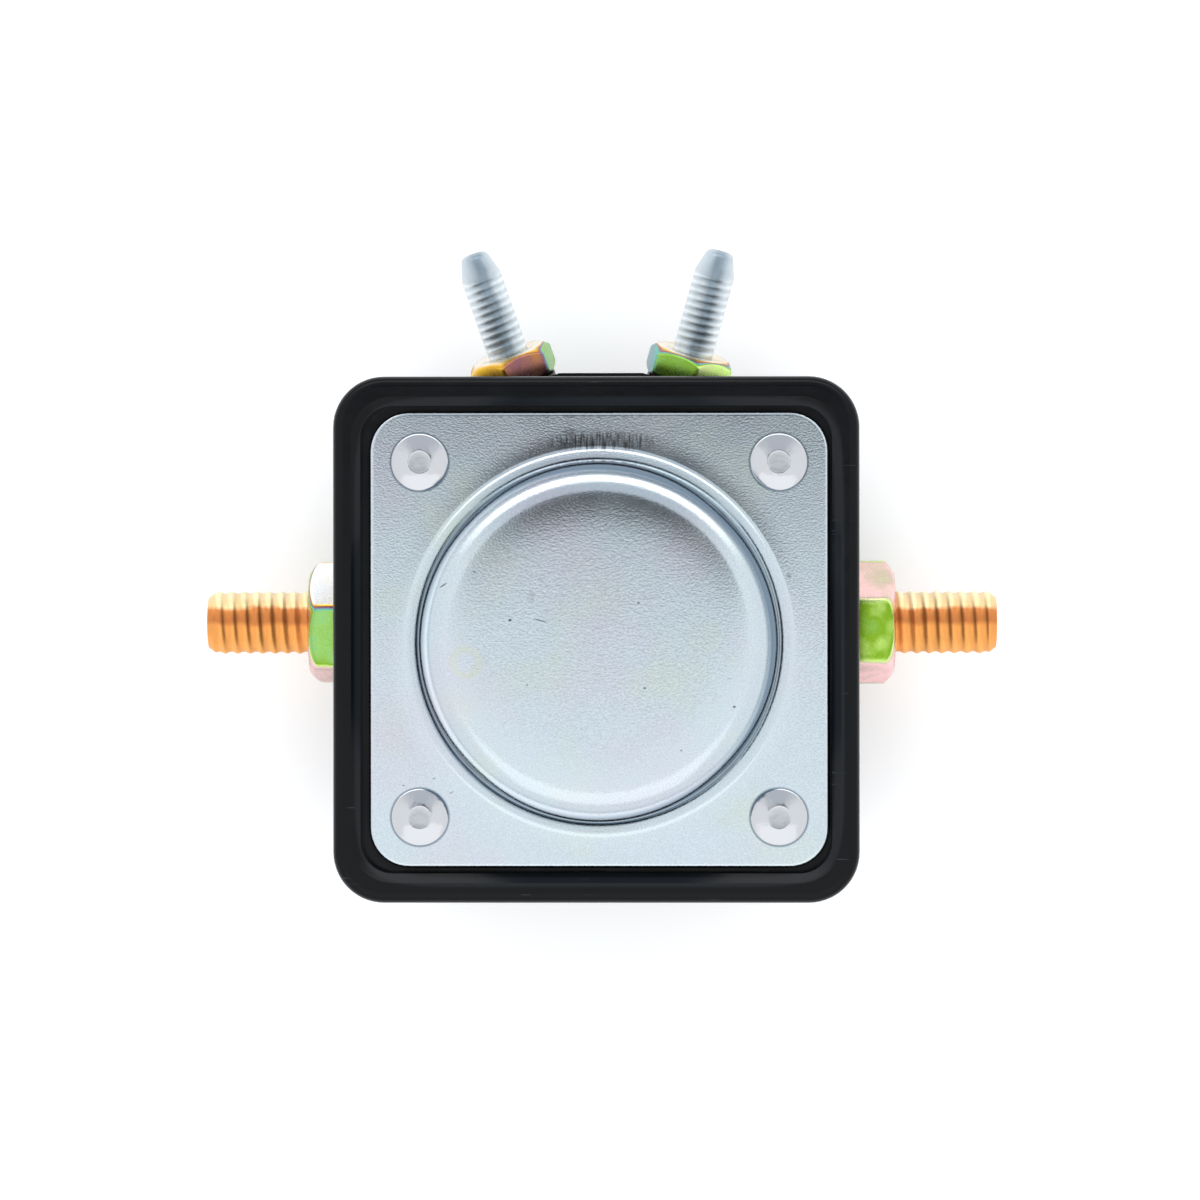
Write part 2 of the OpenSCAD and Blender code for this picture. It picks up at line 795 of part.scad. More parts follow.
module bobbin() {
    color("#2f3a36")
        difference() {
            union() {
                bar(bobbin_core_r, bobbin_bottom, bobbin_top);
                bar(bobbin_r, bobbin_bottom, bobbin_bottom + bobbin_wall);
                bar(bobbin_r, bobbin_top - bobbin_wall, bobbin_top);
            }
            bar(bobbin_in_r, bobbin_bottom - overrun, bobbin_top + overrun);
            for (side = sides)
                translate([side * lead_x, lead_y, 0])
                    bar(lead_notch_r, bobbin_bottom - overrun, bobbin_bottom + bobbin_wall + overrun);
        }
}

// Copper winding, with the turns of its outer layer
module winding() {
    color("#a8542c")
        rotate_extrude() {
            translate([winding_in_r, winding_low])
                square([winding_out_r - winding_in_r, winding_high - winding_low]);
            for (i = [0:turns_shown - 1])
                translate([winding_out_r - ridge_sink_share * wire_d, winding_low + (i + 1 / 2) * turn_step])
                    circle(turn_step / 2);
        }
}

module winding_tape() {
    color("#c9a23c")
        difference() {
            bar(tape_in_r + tape_t, winding_low + tape_margin, winding_high - tape_margin);
            bar(tape_in_r, winding_low, winding_high);
        }
}

module guide_tube() {
    color("#c8a24a")
        difference() {
            bar(tube_out_r, cup_floor_top + rest_gap, bobbin_top - tube_top_drop);
            bar(tube_in_r, cup_floor_top - overrun, bobbin_top);
        }
}

module bumper_pad() {
    color("#2a2a2a") bar(pad_r, ceiling_z - pad_t, ceiling_z);
}

module plunger() {
    color("#8b9298")
        difference() {
            translate([0, 0, plunger_bottom])
                rotate_extrude()
                    edge_profile(plunger_d / 2, plunger_top - plunger_bottom, plunger_edge, plunger_edge);
            bar(rod_d / 2 + fixed_gap, plunger_bottom - overrun, plunger_bottom + rod_grip);
        }
}

// Rod from the plunger through the core, with the spring's collar and the clip's groove
module plunger_rod() {
    color("#b7a15c") {
        bar(rod_d / 2, clip_top + fixed_gap, plunger_bottom + rod_grip - fixed_gap);
        bar(clip_neck_r, clip_bottom - rod_edge, clip_top + rod_edge);
        bar(rod_d / 2, rod_bottom + rod_edge, clip_bottom - fixed_gap);
        translate([0, 0, rod_bottom]) cylinder(r1 = rod_d / 2 - rod_edge, r2 = rod_d / 2, h = rod_edge);
        bar(collar_r, collar_bottom, collar_top);
    }
}

// Snap ring with an open mouth
module rod_clip() {
    color("#6f777d")
        translate([0, 0, clip_bottom])
            linear_extrude(clip_t)
                difference() {
                    circle(clip_r);
                    circle(clip_neck_r + fixed_gap);
                    translate([0, -clip_mouth / 2]) square([clip_r + overrun, clip_mouth]);
                    for (turn = [120, 240]) rotate(turn) translate([clip_lobe_at, 0]) circle(clip_lobe_r);
                }
}

module contact_disc() {
    color("#c9743a")
        difference() {
            translate([0, 0, disc_bottom]) rotate_extrude() edge_profile(disc_r, disc_t, disc_edge, disc_edge);
            bar(bush_spigot_r + fixed_gap, disc_bottom - overrun, disc_top + overrun);
        }
}

module disc_bush_upper() {
    color("#d8cfb8")
        difference() {
            union() {
                bar(bush_upper_r, disc_top, bush_upper_top);
                bar(bush_spigot_r, disc_bottom + rest_gap, disc_top + bush_t / 2);
            }
            bar(rod_d / 2 + running_gap, disc_bottom - overrun, bush_upper_top + overrun);
        }
}

module disc_bush_lower() {
    color("#d8cfb8")
        difference() {
            bar(bush_lower_r, bush_lower_bottom, disc_bottom);
            bar(rod_d / 2 + running_gap, bush_lower_bottom - overrun, disc_bottom + overrun);
        }
}

// Spring that presses the disc onto the studs for the rest of the travel
module contact_spring() {
    color("#7d858c")
        spring(contact_spring_r, bush_upper_top + rest_gap, collar_bottom - rest_gap, contact_spring_turns);
}

// Spring round the floor post that lifts the plunger back
module return_spring() {
    color("#7d858c")
        spring(return_spring_r, back_wall + rest_gap, clip_bottom - rest_gap, return_spring_turns);
}

housing();
cover();
gasket();
rivets();
line_stud_left();
line_stud_right();
line_nut_left();
line_nut_right();
line_stud_seals();
coil_stud_left();
coil_stud_right();
coil_nut_left();
coil_nut_right();
coil_stud_seals();
coil_lug_left();
coil_lug_right();
coil_lead_left();
coil_lead_right();
coil_cup();
fixed_core();
bobbin();
winding();
winding_tape();
guide_tube();
bumper_pad();
plunger();
plunger_rod();
rod_clip();
contact_disc();
disc_bush_upper();
disc_bush_lower();
contact_spring();
return_spring();
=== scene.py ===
import json
import math

import bmesh
import bpy
from bpy.props import FloatProperty, IntProperty, PointerProperty, StringProperty
from mathutils import Euler, Matrix, Vector


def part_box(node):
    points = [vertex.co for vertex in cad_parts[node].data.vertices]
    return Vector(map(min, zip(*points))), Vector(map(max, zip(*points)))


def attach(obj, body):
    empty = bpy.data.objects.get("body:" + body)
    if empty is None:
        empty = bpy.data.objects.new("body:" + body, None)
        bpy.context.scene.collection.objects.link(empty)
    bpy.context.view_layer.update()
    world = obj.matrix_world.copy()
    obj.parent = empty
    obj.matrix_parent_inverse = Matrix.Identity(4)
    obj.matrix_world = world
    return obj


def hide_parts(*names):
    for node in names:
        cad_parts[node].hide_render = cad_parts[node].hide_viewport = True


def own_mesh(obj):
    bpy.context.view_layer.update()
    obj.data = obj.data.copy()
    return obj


bl_info = {
    "name": "Starter Relay Finish",
    "version": (1, 0, 0),
    "blender": (4, 5, 0),
    "location": "View3D > Sidebar > Relay",
    "description": "Threads, nuts, rivets, finishes and stage for a square starter relay",
    "category": "Object",
}

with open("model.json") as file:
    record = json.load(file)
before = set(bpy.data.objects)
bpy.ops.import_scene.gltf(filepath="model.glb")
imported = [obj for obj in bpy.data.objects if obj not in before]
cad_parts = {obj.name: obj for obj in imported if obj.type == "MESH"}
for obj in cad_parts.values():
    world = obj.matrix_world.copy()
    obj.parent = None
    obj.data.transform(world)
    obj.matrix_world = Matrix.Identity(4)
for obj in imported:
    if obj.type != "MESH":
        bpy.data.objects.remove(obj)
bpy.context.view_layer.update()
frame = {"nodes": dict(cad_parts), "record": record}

MM = 0.001
SIDES = {"left": -1, "right": 1}
PINS = {m["name"]: m for m in frame["record"]["mounts"]}

# Outline of one rolled thread: shares of the pitch, and of the depth from root to crest
THREAD_SHARES = [(0.0, 0.0), (0.08, 0.03), (0.16, 0.15), (0.25, 0.42), (0.33, 0.72), (0.41, 0.93),
                 (0.5, 1.0), (0.59, 0.93), (0.67, 0.72), (0.75, 0.42), (0.84, 0.15), (0.92, 0.03), (1.0, 0.0)]


def length(default_mm, name, description):
    """A length property, given in millimetres and kept in metres."""
    return FloatProperty(name=name, description=description, default=default_mm * MM, min=0.0,
                         subtype="DISTANCE", unit="LENGTH", precision=5)


def share(default, name, description):
    """A property from 0 to 1."""
    return FloatProperty(name=name, description=description, default=default, min=0.0, max=1.0,
                         subtype="FACTOR")


def angle(degrees, name, description):
    """An angle property, given in degrees."""
    return FloatProperty(name=name, description=description, default=math.radians(degrees),
                         subtype="ANGLE", unit="ROTATION")


def shade(default, name, description):
    """A colour property, written as an sRGB hex value."""
    return StringProperty(name=name, description=description, default=default)


class RELAY_PG_moulding(bpy.types.PropertyGroup):
    """Black phenolic moulding"""
    body: shade("#050608", "Body colour", "Colour of the moulded body")
    bloom: shade("#0c0e12", "Bloom colour", "Colour of the duller patches on the moulding")
    scratch: shade("#33363c", "Scratch colour", "Colour of the scratches that show filler")
    roughness: share(0.1, "Roughness", "Roughness of the moulded face")
    gloss: share(0.13, "Gloss", "Strength of the moulded face's reflections")
    flow: length(6, "Flow size", "Size of the slow waves in the moulded face")
    flow_depth: length(0.12, "Flow depth", "Depth of those waves")
    grain: length(0.25, "Grain size", "Size of the pinholes that the mould leaves")
    grain_depth: length(0.003, "Grain depth", "Depth of those pinholes")
    scratch_long: length(5, "Scratch length", "Length of the scratches")
    scratch_wide: length(0.35, "Scratch width", "Width of the scratches")
    # Painted sheen: the edge colour is a lighter band that stands in for the light the rim's inner bevel
    # catches
    edge: shade("#212428", "Edge colour", "Colour of the duller edge round the cover")
    sheen_at: length(23.5, "Edge place", "Distance from the middle to that edge")
    sheen_wide: length(1, "Edge width", "Width of that edge")


class RELAY_PG_sheet(bpy.types.PropertyGroup):
    """Zinc plated cover"""
    zinc: shade("#c9d5dc", "Zinc colour", "Colour of the plated sheet")
    tint_a: shade("#cfdad2", "Green tint", "Faint green passivation tint")
    tint_b: shade("#cfccd8", "Pink tint", "Faint pink passivation tint")
    # Painted shade: colour of the dark band on the dome's wall and of the painted shadow round each rivet
    bend: shade("#54697c", "Bend colour", "Colour of the thinner zinc on the dome's wall")
    speck: shade("#4a4742", "Speck colour", "Colour of the specks and scratches")
    stain: shade("#cfcf9e", "Stain colour", "Colour of the ring stain")
    roughness: share(0.13, "Roughness", "Roughness of the plated face")
    grain: length(0.2, "Grain size", "Size of the dimples that drawing leaves in the sheet")
    grain_depth: length(0.011, "Grain depth", "Depth of those dimples")
    fine: length(0.13, "Fine grain size", "Size of the zinc's own grain")
    fine_depth: length(0.005, "Fine grain depth", "Depth of the zinc's own grain")
    patch: length(7, "Tint patch size", "Size of the tinted patches")
    plate: length(1.2, "Sheet thickness", "Thickness of the cover sheet")
    corner: length(4, "Plate corner", "Radius of the plate's corners")
    edge: length(0.4, "Plate edge", "Rounding of the plate's upper edge")
    wall_r: length(17.5, "Dome radius", "Radius of the dome's wall")
    flat_r: length(8, "Flat radius", "Radius of the flat middle of the dome's face")
    roll: angle(4.2, "Roll", "Slope that the face reaches at the shoulder")
    shoulder: length(3.3, "Shoulder radius", "Radius of the dome's shoulder")
    knee: length(1.6, "Knee radius", "Radius of the curve between the wall and its flare")
    flare: angle(37, "Flare", "Slope of the flare at the foot of the wall")
    foot: length(1, "Foot radius", "Radius of the curve between the flare and the plate")
    foot_r: length(19.2, "Foot reach", "Radius round the dome at which the foot's curve ends")
    swell: angle(3, "Swell", "Slope of the plate where it meets the foot's curve")
    swell_r: length(21.6, "Swell radius", "Radius at which the plate is level again")
    inner_foot: length(1.2, "Inner foot radius", "Radius of the same curve under the sheet")
    bow: length(0.2, "Bow", "How far the sheet is bowed, from the middle out to the bow's radius")
    bow_r: length(23, "Bow radius", "Radius at which the bow is measured")


class RELAY_PG_rivet(bpy.types.PropertyGroup):
    """Headed rivets"""
    steel: shade("#c6c8cc", "Rivet colour", "Colour of the plated rivets")
    dull: shade("#bfc2c6", "Flat colour", "Colour of the flat that the tool leaves")
    inset: length(5, "Inset", "Distance from the plate's edges to each rivet")
    head_r: length(2.8, "Head radius", "Radius of the head")
    edge: length(0.2, "Head edge", "Height of the head's straight edge")
    crown: length(0.5, "Head crown", "Height of the head's dome above its edge")
    flat_r: length(1.1, "Flat radius", "Radius of the tool's flat on the head")
    shank_r: length(2, "Shank radius", "Radius of the shank")
    tail_r: length(3, "Tail radius", "Radius of the clenched tail")
    tail_h: length(1.3, "Tail height", "Height of the clenched tail")
    flat_drop: length(0.04, "Flat depth", "Depth of the tool's flat in the head")
    steps: IntProperty(name="Steps", description="Faces round a rivet", default=72, min=24)
    roughness: share(0.13, "Roughness", "Roughness of the head")
    flat_roughness: share(0.34, "Flat roughness", "Roughness of the tool's flat")
    grain: length(0.25, "Grain size", "Size of the grain in the plating")
    grain_depth: length(0.006, "Grain depth", "Depth of that grain")
    dent: length(1.6, "Dent size", "Size of the dents that heading leaves")
    dent_depth: length(0.13, "Dent depth", "Depth of those dents")


class RELAY_PG_line(bpy.types.PropertyGroup):
    """Large copper studs and their nuts"""
    # Root colour: darker copper in the thread's roots, partly oxide and partly painted shade
    root: shade("#d58a48", "Root colour", "Colour of the darker copper in the thread's roots")
    roughness: share(0.42, "Roughness", "Roughness of the copper")
    pitch: length(1.27, "Pitch", "Pitch of the thread")
    depth: length(0.19, "Thread depth", "Depth of the thread from crest to root")
    chamfer: length(0.8, "Chamfer length", "Length of the chamfer at the stud's end")
    chamfer_in: length(0.6, "Chamfer depth", "Depth of the chamfer at the stud's end")
    nut_flats: length(11.11, "Nut size", "Width of the nut across its flats")
    left_turn: angle(15, "Left nut turn", "Turn of the left nut")
    right_turn: angle(9, "Right nut turn", "Turn of the right nut")
    head_t: length(4.5, "Head thickness", "Thickness of the head inside the housing")
    head_edge: length(0.6, "Head edge", "Rounding of the head's edges")
    patch: length(2.5, "Patch size", "Size of the cloudy patches in the metal")


class RELAY_PG_coil(bpy.types.PropertyGroup):
    """Small plated studs and their nuts"""
    # Root colour: darker zinc in the thread's roots, partly the plating's own tone and partly painted shade
    root: shade("#7f919e", "Root colour", "Colour of the darker zinc in the thread's roots")
    roughness: share(0.4, "Roughness", "Roughness of the plating")
    pitch: length(0.79, "Pitch", "Pitch of the thread")
    depth: length(0.05, "Thread depth", "Depth of the thread from crest to root")
    reach: length(13.8, "Reach", "Length of the stud outside its seat")
    point: length(2.499, "Point length", "Length of the plain point")
    point_r: length(1.45, "Point radius", "Radius of the point's end")
    point_edge: length(0.4, "Point edge", "Rounding of the point's end")
    nut_flats: length(7.94, "Nut size", "Width of the nut across its flats")
    nut_thick: length(3.18, "Nut thickness", "Thickness of the nut")
    turn: angle(12, "Nut turn", "Turn of the nuts")
    head_r: length(3.3, "Head radius", "Radius of the head inside the housing")
    head_t: length(1.6, "Head thickness", "Thickness of the head inside the housing")
    head_depth: length(9.2, "Head depth", "Depth of the head's inner face below the seat")
    head_edge: length(0.2, "Head edge", "Chamfer of the head's inner face")
    patch: length(2, "Patch size", "Size of the cloudy patches in the plating")


class RELAY_PG_plating(bpy.types.PropertyGroup):
    """Rainbow passivation on the nuts"""
    roughness: share(0.24, "Roughness", "Roughness of the plating")
    drift: share(0.05, "Drift", "How far the tint wanders within one flat")
    patch: length(3, "Patch size", "Size of the tinted patches")
    grain: length(0.2, "Grain size", "Size of the grain in the plating")
    grain_depth: length(0.004, "Grain depth", "Depth of that grain")


class RELAY_PG_spring(bpy.types.PropertyGroup):
    """Wound springs inside the relay"""
    wire: length(0.8, "Wire diameter", "Diameter of the spring wire")
    contact_r: length(3.5, "Contact spring radius", "Mean radius of the contact spring")
    return_r: length(3.3, "Return spring radius", "Mean radius of the return spring")
    contact_turns: IntProperty(name="Contact turns", description="Open turns", default=1, min=1)
    return_turns: IntProperty(name="Return turns", description="Open turns", default=4, min=1)


class RELAY_PG_stage(bpy.types.PropertyGroup):
    """Floor, light and camera"""
    floor: shade("#f4f5f6", "Floor colour", "Colour of the floor")
    sky: shade("#ffffff", "Light colour", "Colour of the tent's bright side")
    floor_lift: share(0.28, "Floor lift", "Light added to the floor as it is seen, also in metal")
    strength: FloatProperty(name="Tent strength", description="Strength of the light tent",
                            default=1.0, min=0.0)
    key_power: FloatProperty(name="Softbox power", description="Power of the softbox in watts",
                             default=0.3, min=0.0)
    lens: FloatProperty(name="Lens", description="Focal length on a 36 mm sensor, in millimetres",
                        default=152.14, min=1.0)


def linear(colour):
    """sRGB hex value as linear red, green, blue and alpha."""
    parts = [int(colour[i:i + 2], 16) / 255 for i in (1, 3, 5)]
    return (*[c / 12.92 if c <= 0.04045 else ((c + 0.055) / 1.055) ** 2.4 for c in parts], 1.0)


# Settings that every node of a kind has here
COMMON = {"Mix": {"data_type": "RGBA"}}


def add(tree, kind, inputs=(), out=None, stops=(), **settings):
    """Adds a node and gives the output asked for, or else the first that is in use.

    Inputs are values or the sockets that feed them, in the node's own order or by name. A noise is given
    its place, scale, detail and roughness, a map range its value and two ranges. Stops are a ramp's.
    """
    node = tree.nodes.new(f"ShaderNode{kind}")
    for key, value in (COMMON.get(kind, {}) | settings).items():
        setattr(node, key, value)
    if isinstance(inputs, dict):
        pairs = [(node.inputs[key], value) for key, value in inputs.items()]
    else:
        pairs = zip([socket for socket in node.inputs if socket.enabled], inputs)
    for socket, value in pairs:
        if isinstance(value, bpy.types.NodeSocket):
            tree.links.new(value, socket)
        else:
            socket.default_value = value
    for index, (place, colour) in enumerate(stops):
        if index < 2:
            stop = node.color_ramp.elements[index]
            stop.position = place
        else:
            stop = node.color_ramp.elements.new(place)
        stop.color = linear(colour)
    return node.outputs[out] if out else next((socket for socket in node.outputs if socket.enabled), None)


def new_material(name):
    """A material with no nodes but the one that gives object coordinates."""
    made = bpy.data.materials.new(name)
    made.use_nodes = True
    made.node_tree.nodes.clear()
    return made, made.node_tree, add(made.node_tree, "TexCoord", out="Object")


def surface(made, colour, roughness, normal=None, **plain):
    """Gives a material its shader. What is plain is named as on the shader, with _ for a space."""
    inputs = {key.replace("_", " "): value for key, value in plain.items()}
    inputs |= {"Base Color": colour, "Roughness": roughness}
    if normal is not None:
        inputs["Normal"] = normal
    add(made.node_tree, "OutputMaterial", [add(made.node_tree, "BsdfPrincipled", inputs)])
    return made


def strongest(tree, sockets):
    """The largest of several values."""
    found = sockets[0]
    for socket in sockets[1:]:
        found = add(tree, "Math", [found, socket], operation="MAXIMUM")
    return found


# Range that a noise mostly keeps to, a wider one, and how much rougher a face gets over the first
NOISE_SPAN, WIDE_SPAN = (0.3, 0.7), (0.25, 0.75)
ROUGHER = 0.1
# Power of a mean of X and Y that follows a square with rounded corners
SQUARE_POWER = 10.0
# Turn of the scratches in radians, and range of their noise over which one appears
SCRATCH_TURN, SCRATCH_SPAN = 1.1, (0.7, 0.76)
# Where the painted sheen on the housing's edge starts to fade and where it ends, as shares of its width, and
# its strength
SHEEN_FADE, SHEEN_STRENGTH = (0.3, 0.6), 0.8


def phenolic():
    """Compression-moulded phenolic: deep black gloss with slow waves, pinholes and a few scratches."""
    s = bpy.context.scene.relay_moulding
    made, tree, place = new_material("moulded_phenolic")
    flow = add(tree, "TexNoise", [place, 1 / s.flow, 3.0])
    pits = add(tree, "TexNoise", [place, 1 / s.grain, 2.0])
    base = add(tree, "Mix", [flow, linear(s.body), linear(s.bloom)])
    # Scratches are long thin cells, drawn wider than real ones so that they show
    cells = (1 / s.scratch_long, 1 / s.scratch_wide, 1 / s.scratch_long)
    cells = add(tree, "Mapping", {"Vector": place, "Rotation": (0.0, 0.0, SCRATCH_TURN), "Scale": cells})
    cells = add(tree, "TexNoise", [cells, 1.0, 2.0])
    base = add(tree, "Mix", [add(tree, "MapRange", [cells, *SCRATCH_SPAN]), base, linear(s.scratch)])
    # Painted sheen: the edge round the cover gets a lighter colour, standing in for the light that the rim's
    # inner bevel catches; it follows its rounded corners
    spot = add(tree, "VectorMath", [place], operation="ABSOLUTE")
    powers = [add(tree, "Math", [add(tree, "SeparateXYZ", [spot], out=k), SQUARE_POWER], operation="POWER")
              for k in "XY"]
    reach = add(tree, "Math", powers, operation="ADD")
    reach = add(tree, "Math", [reach, 1 / SQUARE_POWER], operation="POWER")
    off = add(tree, "Math", [reach, s.sheen_at], operation="SUBTRACT")
    off = add(tree, "Math", [off], operation="ABSOLUTE")
    # dull here is the mask of the painted sheen on the edge
    dull = add(tree, "MapRange", [off, *[s.sheen_wide * k for k in SHEEN_FADE], SHEEN_STRENGTH, 0.0])
    base = add(tree, "Mix", [dull, base, linear(s.edge)])
    rough = add(tree, "MapRange", [flow, *NOISE_SPAN, s.roughness, s.roughness + ROUGHER])
    waves = add(tree, "Bump", {"Height": flow, "Distance": s.flow_depth, "Strength": 0.5})
    holes = add(tree, "Bump", {"Height": pits, "Distance": s.grain_depth, "Strength": 0.5, "Normal": waves})
    return surface(made, base, rough, holes, IOR=1.55, Specular_IOR_Level=s.gloss)


# Small scratches, specks and smudges on the cover: x, y, length and width in mm, turn in degrees, strength
COVER_MARKS = [
    (-14.9, 5.5, 1.1, 0.16, 32, 0.9), (-6.4, 4.4, 1.3, 0.9, 80, 0.16), (-8.45, 2.15, 0.4, 0.32, 20, 0.9),
    (-5.5, 2.1, 1.7, 0.13, -17, 0.8), (-5.3, 5.8, 1.9, 0.08, -40, 0.35), (-11.9, 6.8, 0.5, 0.14, -35, 0.7),
    (3.9, 3.8, 0.3, 0.26, 0, 0.7), (4.5, -4.4, 0.32, 0.26, 0, 0.8), (-6.8, -4.1, 0.26, 0.22, 0, 0.6),
    (8.0, -10.4, 0.28, 0.22, 0, 0.6), (13.1, -6.2, 0.36, 0.3, 0, 0.8), (12.6, -3.5, 0.5, 0.12, 0, 0.35),
    (-9.0, -7.8, 1.0, 0.08, 55, 0.3), (-16.2, -13.4, 0.5, 0.2, 20, 0.45), (-14.5, -14.8, 0.6, 0.2, 30, 0.4),
    (-19.2, -14.1, 0.3, 0.22, 0, 0.5), (-2.9, 20.5, 1.7, 1.0, 0, 0.3), (18.6, 6.4, 0.5, 0.35, 0, 0.5),
    (18.2, -16.9, 0.3, 0.25, 0, 0.4)]
# Patch above the dome that the drawing tool has marked, given in the same way, and size of its streaks
TOOL_PATCH = (0.3, 19.6, 13, 2.3, 0, 0.8)
STREAK_WIDE, STREAK_LONG = 0.28 * MM, 2.2 * MM
# Range of noise over which a streak appears
STREAK_SPAN = (0.42, 0.62)
# Middle of the ring that a dried drop has left, and radii at which it starts, is full, and ends
STAIN_AT = (-12.7 * MM, -1.9 * MM, 40.5 * MM)
STAIN_R = (0.6 * MM, 1.3 * MM, 1.35 * MM, 1.8 * MM)
# Where the painted shade on the dome's wall starts, is full, starts to fade and ends, from the wall's radius
WALL_SHADE_BAND = (-1.1 * MM, -0.5 * MM, 0.1 * MM, 0.5 * MM)
# How far that band's middle lies off the dome's
WALL_SHADE_SHIFT = 0.25 * MM
# Range of noise over which each tint comes in, from nothing to its full share
TINT_A_SPAN, TINT_B_SPAN = (0.52, 0.75, 0.0, 0.7), (0.5, 0.72, 0.0, 0.6)
# Where the painted shadow round a rivet's head starts to fade and where it ends, from the head's radius
HEAD_SHADOW = (0.05 * MM, 0.22 * MM)
# How strongly the painted shade on the dome's wall, the painted shadow round a rivet and the stain show
WALL_SHADE_STRENGTH, HEAD_SHADOW_STRENGTH, STAIN_STRENGTH = 0.9, 0.75, 0.28
# Shades that the zinc's own grain gives, and how much rougher the tinted patches are
ZINC_SHADES, PATCH_ROUGHER = (0.86, 1.05), 0.06


def mark(tree, place, x, y, long, wide, turn, strength):
    """How strongly one small mark, given in millimetres and degrees, covers a point."""
    own = add(tree, "Mapping", {"Vector": place, "Location": (x * MM, y * MM, 0.0),
                                "Rotation": (0.0, 0.0, math.radians(turn)),
                                "Scale": (long / 2 * MM, wide / 2 * MM, 1.0)}, vector_type="TEXTURE")
    away = add(tree, "VectorMath", [own], operation="LENGTH")
    return add(tree, "MapRange", [away, 0.5, 1.0, strength, 0.0])


def ring(tree, away, start, full, fade, end, strength):
    """How strongly a ring with soft edges covers a point, by its distance from the middle."""
    return add(tree, "Math", [add(tree, "MapRange", [away, start, full]),
                              add(tree, "MapRange", [away, fade, end, strength, 0.0])], operation="MULTIPLY")


def zinc_sheet(rivet_at, middle_y):
    """Cold-rolled steel, drawn and clear zinc plated: pale blue-grey, with the dimples of drawing."""
    s = bpy.context.scene.relay_sheet
    made, tree, place = new_material("zinc_plated_drawn_sheet")
    longer = add(tree, "Mapping", {"Vector": place, "Scale": (0.8, 1.0, 1.0)})
    dimples = add(tree, "TexNoise", [longer, 1 / s.grain, 2.0, 0.6])
    fine = add(tree, "TexNoise", [place, 1 / s.fine, 2.0])
    patches = add(tree, "TexNoise", [place, 1 / s.patch, 4.0])
    other = add(tree, "TexNoise", [place, 0.6 / s.patch, 3.0])
    base = linear(s.zinc)
    base = add(tree, "Mix", [add(tree, "MapRange", [patches, *TINT_A_SPAN]), base, linear(s.tint_a)])
    base = add(tree, "Mix", [add(tree, "MapRange", [other, *TINT_B_SPAN]), base, linear(s.tint_b)])
    grained = add(tree, "MapRange", [fine, *WIDE_SPAN, *ZINC_SHADES])
    base = add(tree, "Mix", [1.0, base, grained], blend_type="MULTIPLY")
    # Painted shade: a dark blue-grey band in the bend and at the foot of the dome's wall, standing in for the
    # dark surroundings that the wall reflects
    level = add(tree, "Mapping", {"Vector": place, "Scale": (1.0, 1.0, 0.0),
                                  "Location": (WALL_SHADE_SHIFT, WALL_SHADE_SHIFT, 0.0)})
    away = add(tree, "VectorMath", [level], operation="LENGTH")
    bend = ring(tree, away, *[s.wall_r + k for k in WALL_SHADE_BAND], WALL_SHADE_STRENGTH)
    base = add(tree, "Mix", [bend, base, linear(s.bend)])
    # Upright marks of the drawing tool above the dome
    streaks = add(tree, "Mapping", {"Vector": place, "Scale": (1 / STREAK_WIDE, 1 / STREAK_LONG, 0.0)})
    streaks = add(tree, "TexNoise", [streaks, 1.0, 1.0])
    drag = add(tree, "Math", [add(tree, "MapRange", [streaks, *STREAK_SPAN]),
                              mark(tree, place, *TOOL_PATCH)], operation="MULTIPLY")
    marks = strongest(tree, [drag] + [mark(tree, place, *m) for m in COVER_MARKS])
    base = add(tree, "Mix", [marks, base, linear(s.speck)])
    # Painted shadow: a dark line round each rivet's head, where the head meets the plate
    corner = add(tree, "VectorMath", [place, (0.0, middle_y, 0.0)], operation="SUBTRACT")
    corner = add(tree, "VectorMath", [corner], operation="ABSOLUTE")
    corner = add(tree, "VectorMath", [corner, (1.0, 1.0, 0.0)], operation="MULTIPLY")
    gap = add(tree, "VectorMath", [corner, (*rivet_at, 0.0)], operation="DISTANCE")
    near, far = (bpy.context.scene.relay_rivet.head_r + k for k in HEAD_SHADOW)
    line = add(tree, "MapRange", [gap, near, far, HEAD_SHADOW_STRENGTH, 0.0])
    base = add(tree, "Mix", [line, base, linear(s.bend)])
    # Ring left by a dried drop
    drop = add(tree, "VectorMath", [place, STAIN_AT], operation="DISTANCE")
    base = add(tree, "Mix", [ring(tree, drop, *STAIN_R, STAIN_STRENGTH), base, linear(s.stain)])
    rough = add(tree, "MapRange", [patches, *NOISE_SPAN, s.roughness, s.roughness + PATCH_ROUGHER])
    # Drawing leaves the whole sheet slightly bowed
    bow = add(tree, "Math", [away, 2.0], operation="POWER")
    bow = add(tree, "Math", [bow, -s.bow / s.bow_r ** 2], operation="MULTIPLY")
    form = add(tree, "Bump", {"Height": bow, "Distance": 1.0, "Strength": 1.0})
    peel = add(tree, "Bump", {"Height": dimples, "Distance": s.grain_depth, "Strength": 0.8, "Normal": form})
    both = add(tree, "Bump", {"Height": fine, "Distance": s.fine_depth, "Strength": 0.5, "Normal": peel})
    return surface(made, base, rough, both, Metallic=1.0)


# Painted highlights and shade across a stud, from one side of it to the other: pale bands where the light is
# caught, a dark band where it is not
COPPER_PAINTED_LIGHT = [(0.0, "#fab566"), (1.0, "#fff3cc"), (0.44, "#f9ac5f"), (0.52, "#d0824a"), (0.7, "#d98b50"),
                (0.77, "#ffe5ae")]
ZINC_PAINTED_LIGHT = [(0.0, "#f0f4f6"), (1.0, "#f2f6f7"), (0.28, "#d3dce1"), (0.46, "#98a7b1"), (0.62, "#98a7b1"),
              (0.76, "#d3dce1")]
# Size of the grain in a rolled thread, and depth of its dents
THREAD_GRAIN, THREAD_DENTS = 0.15 * MM, 0.04 * MM
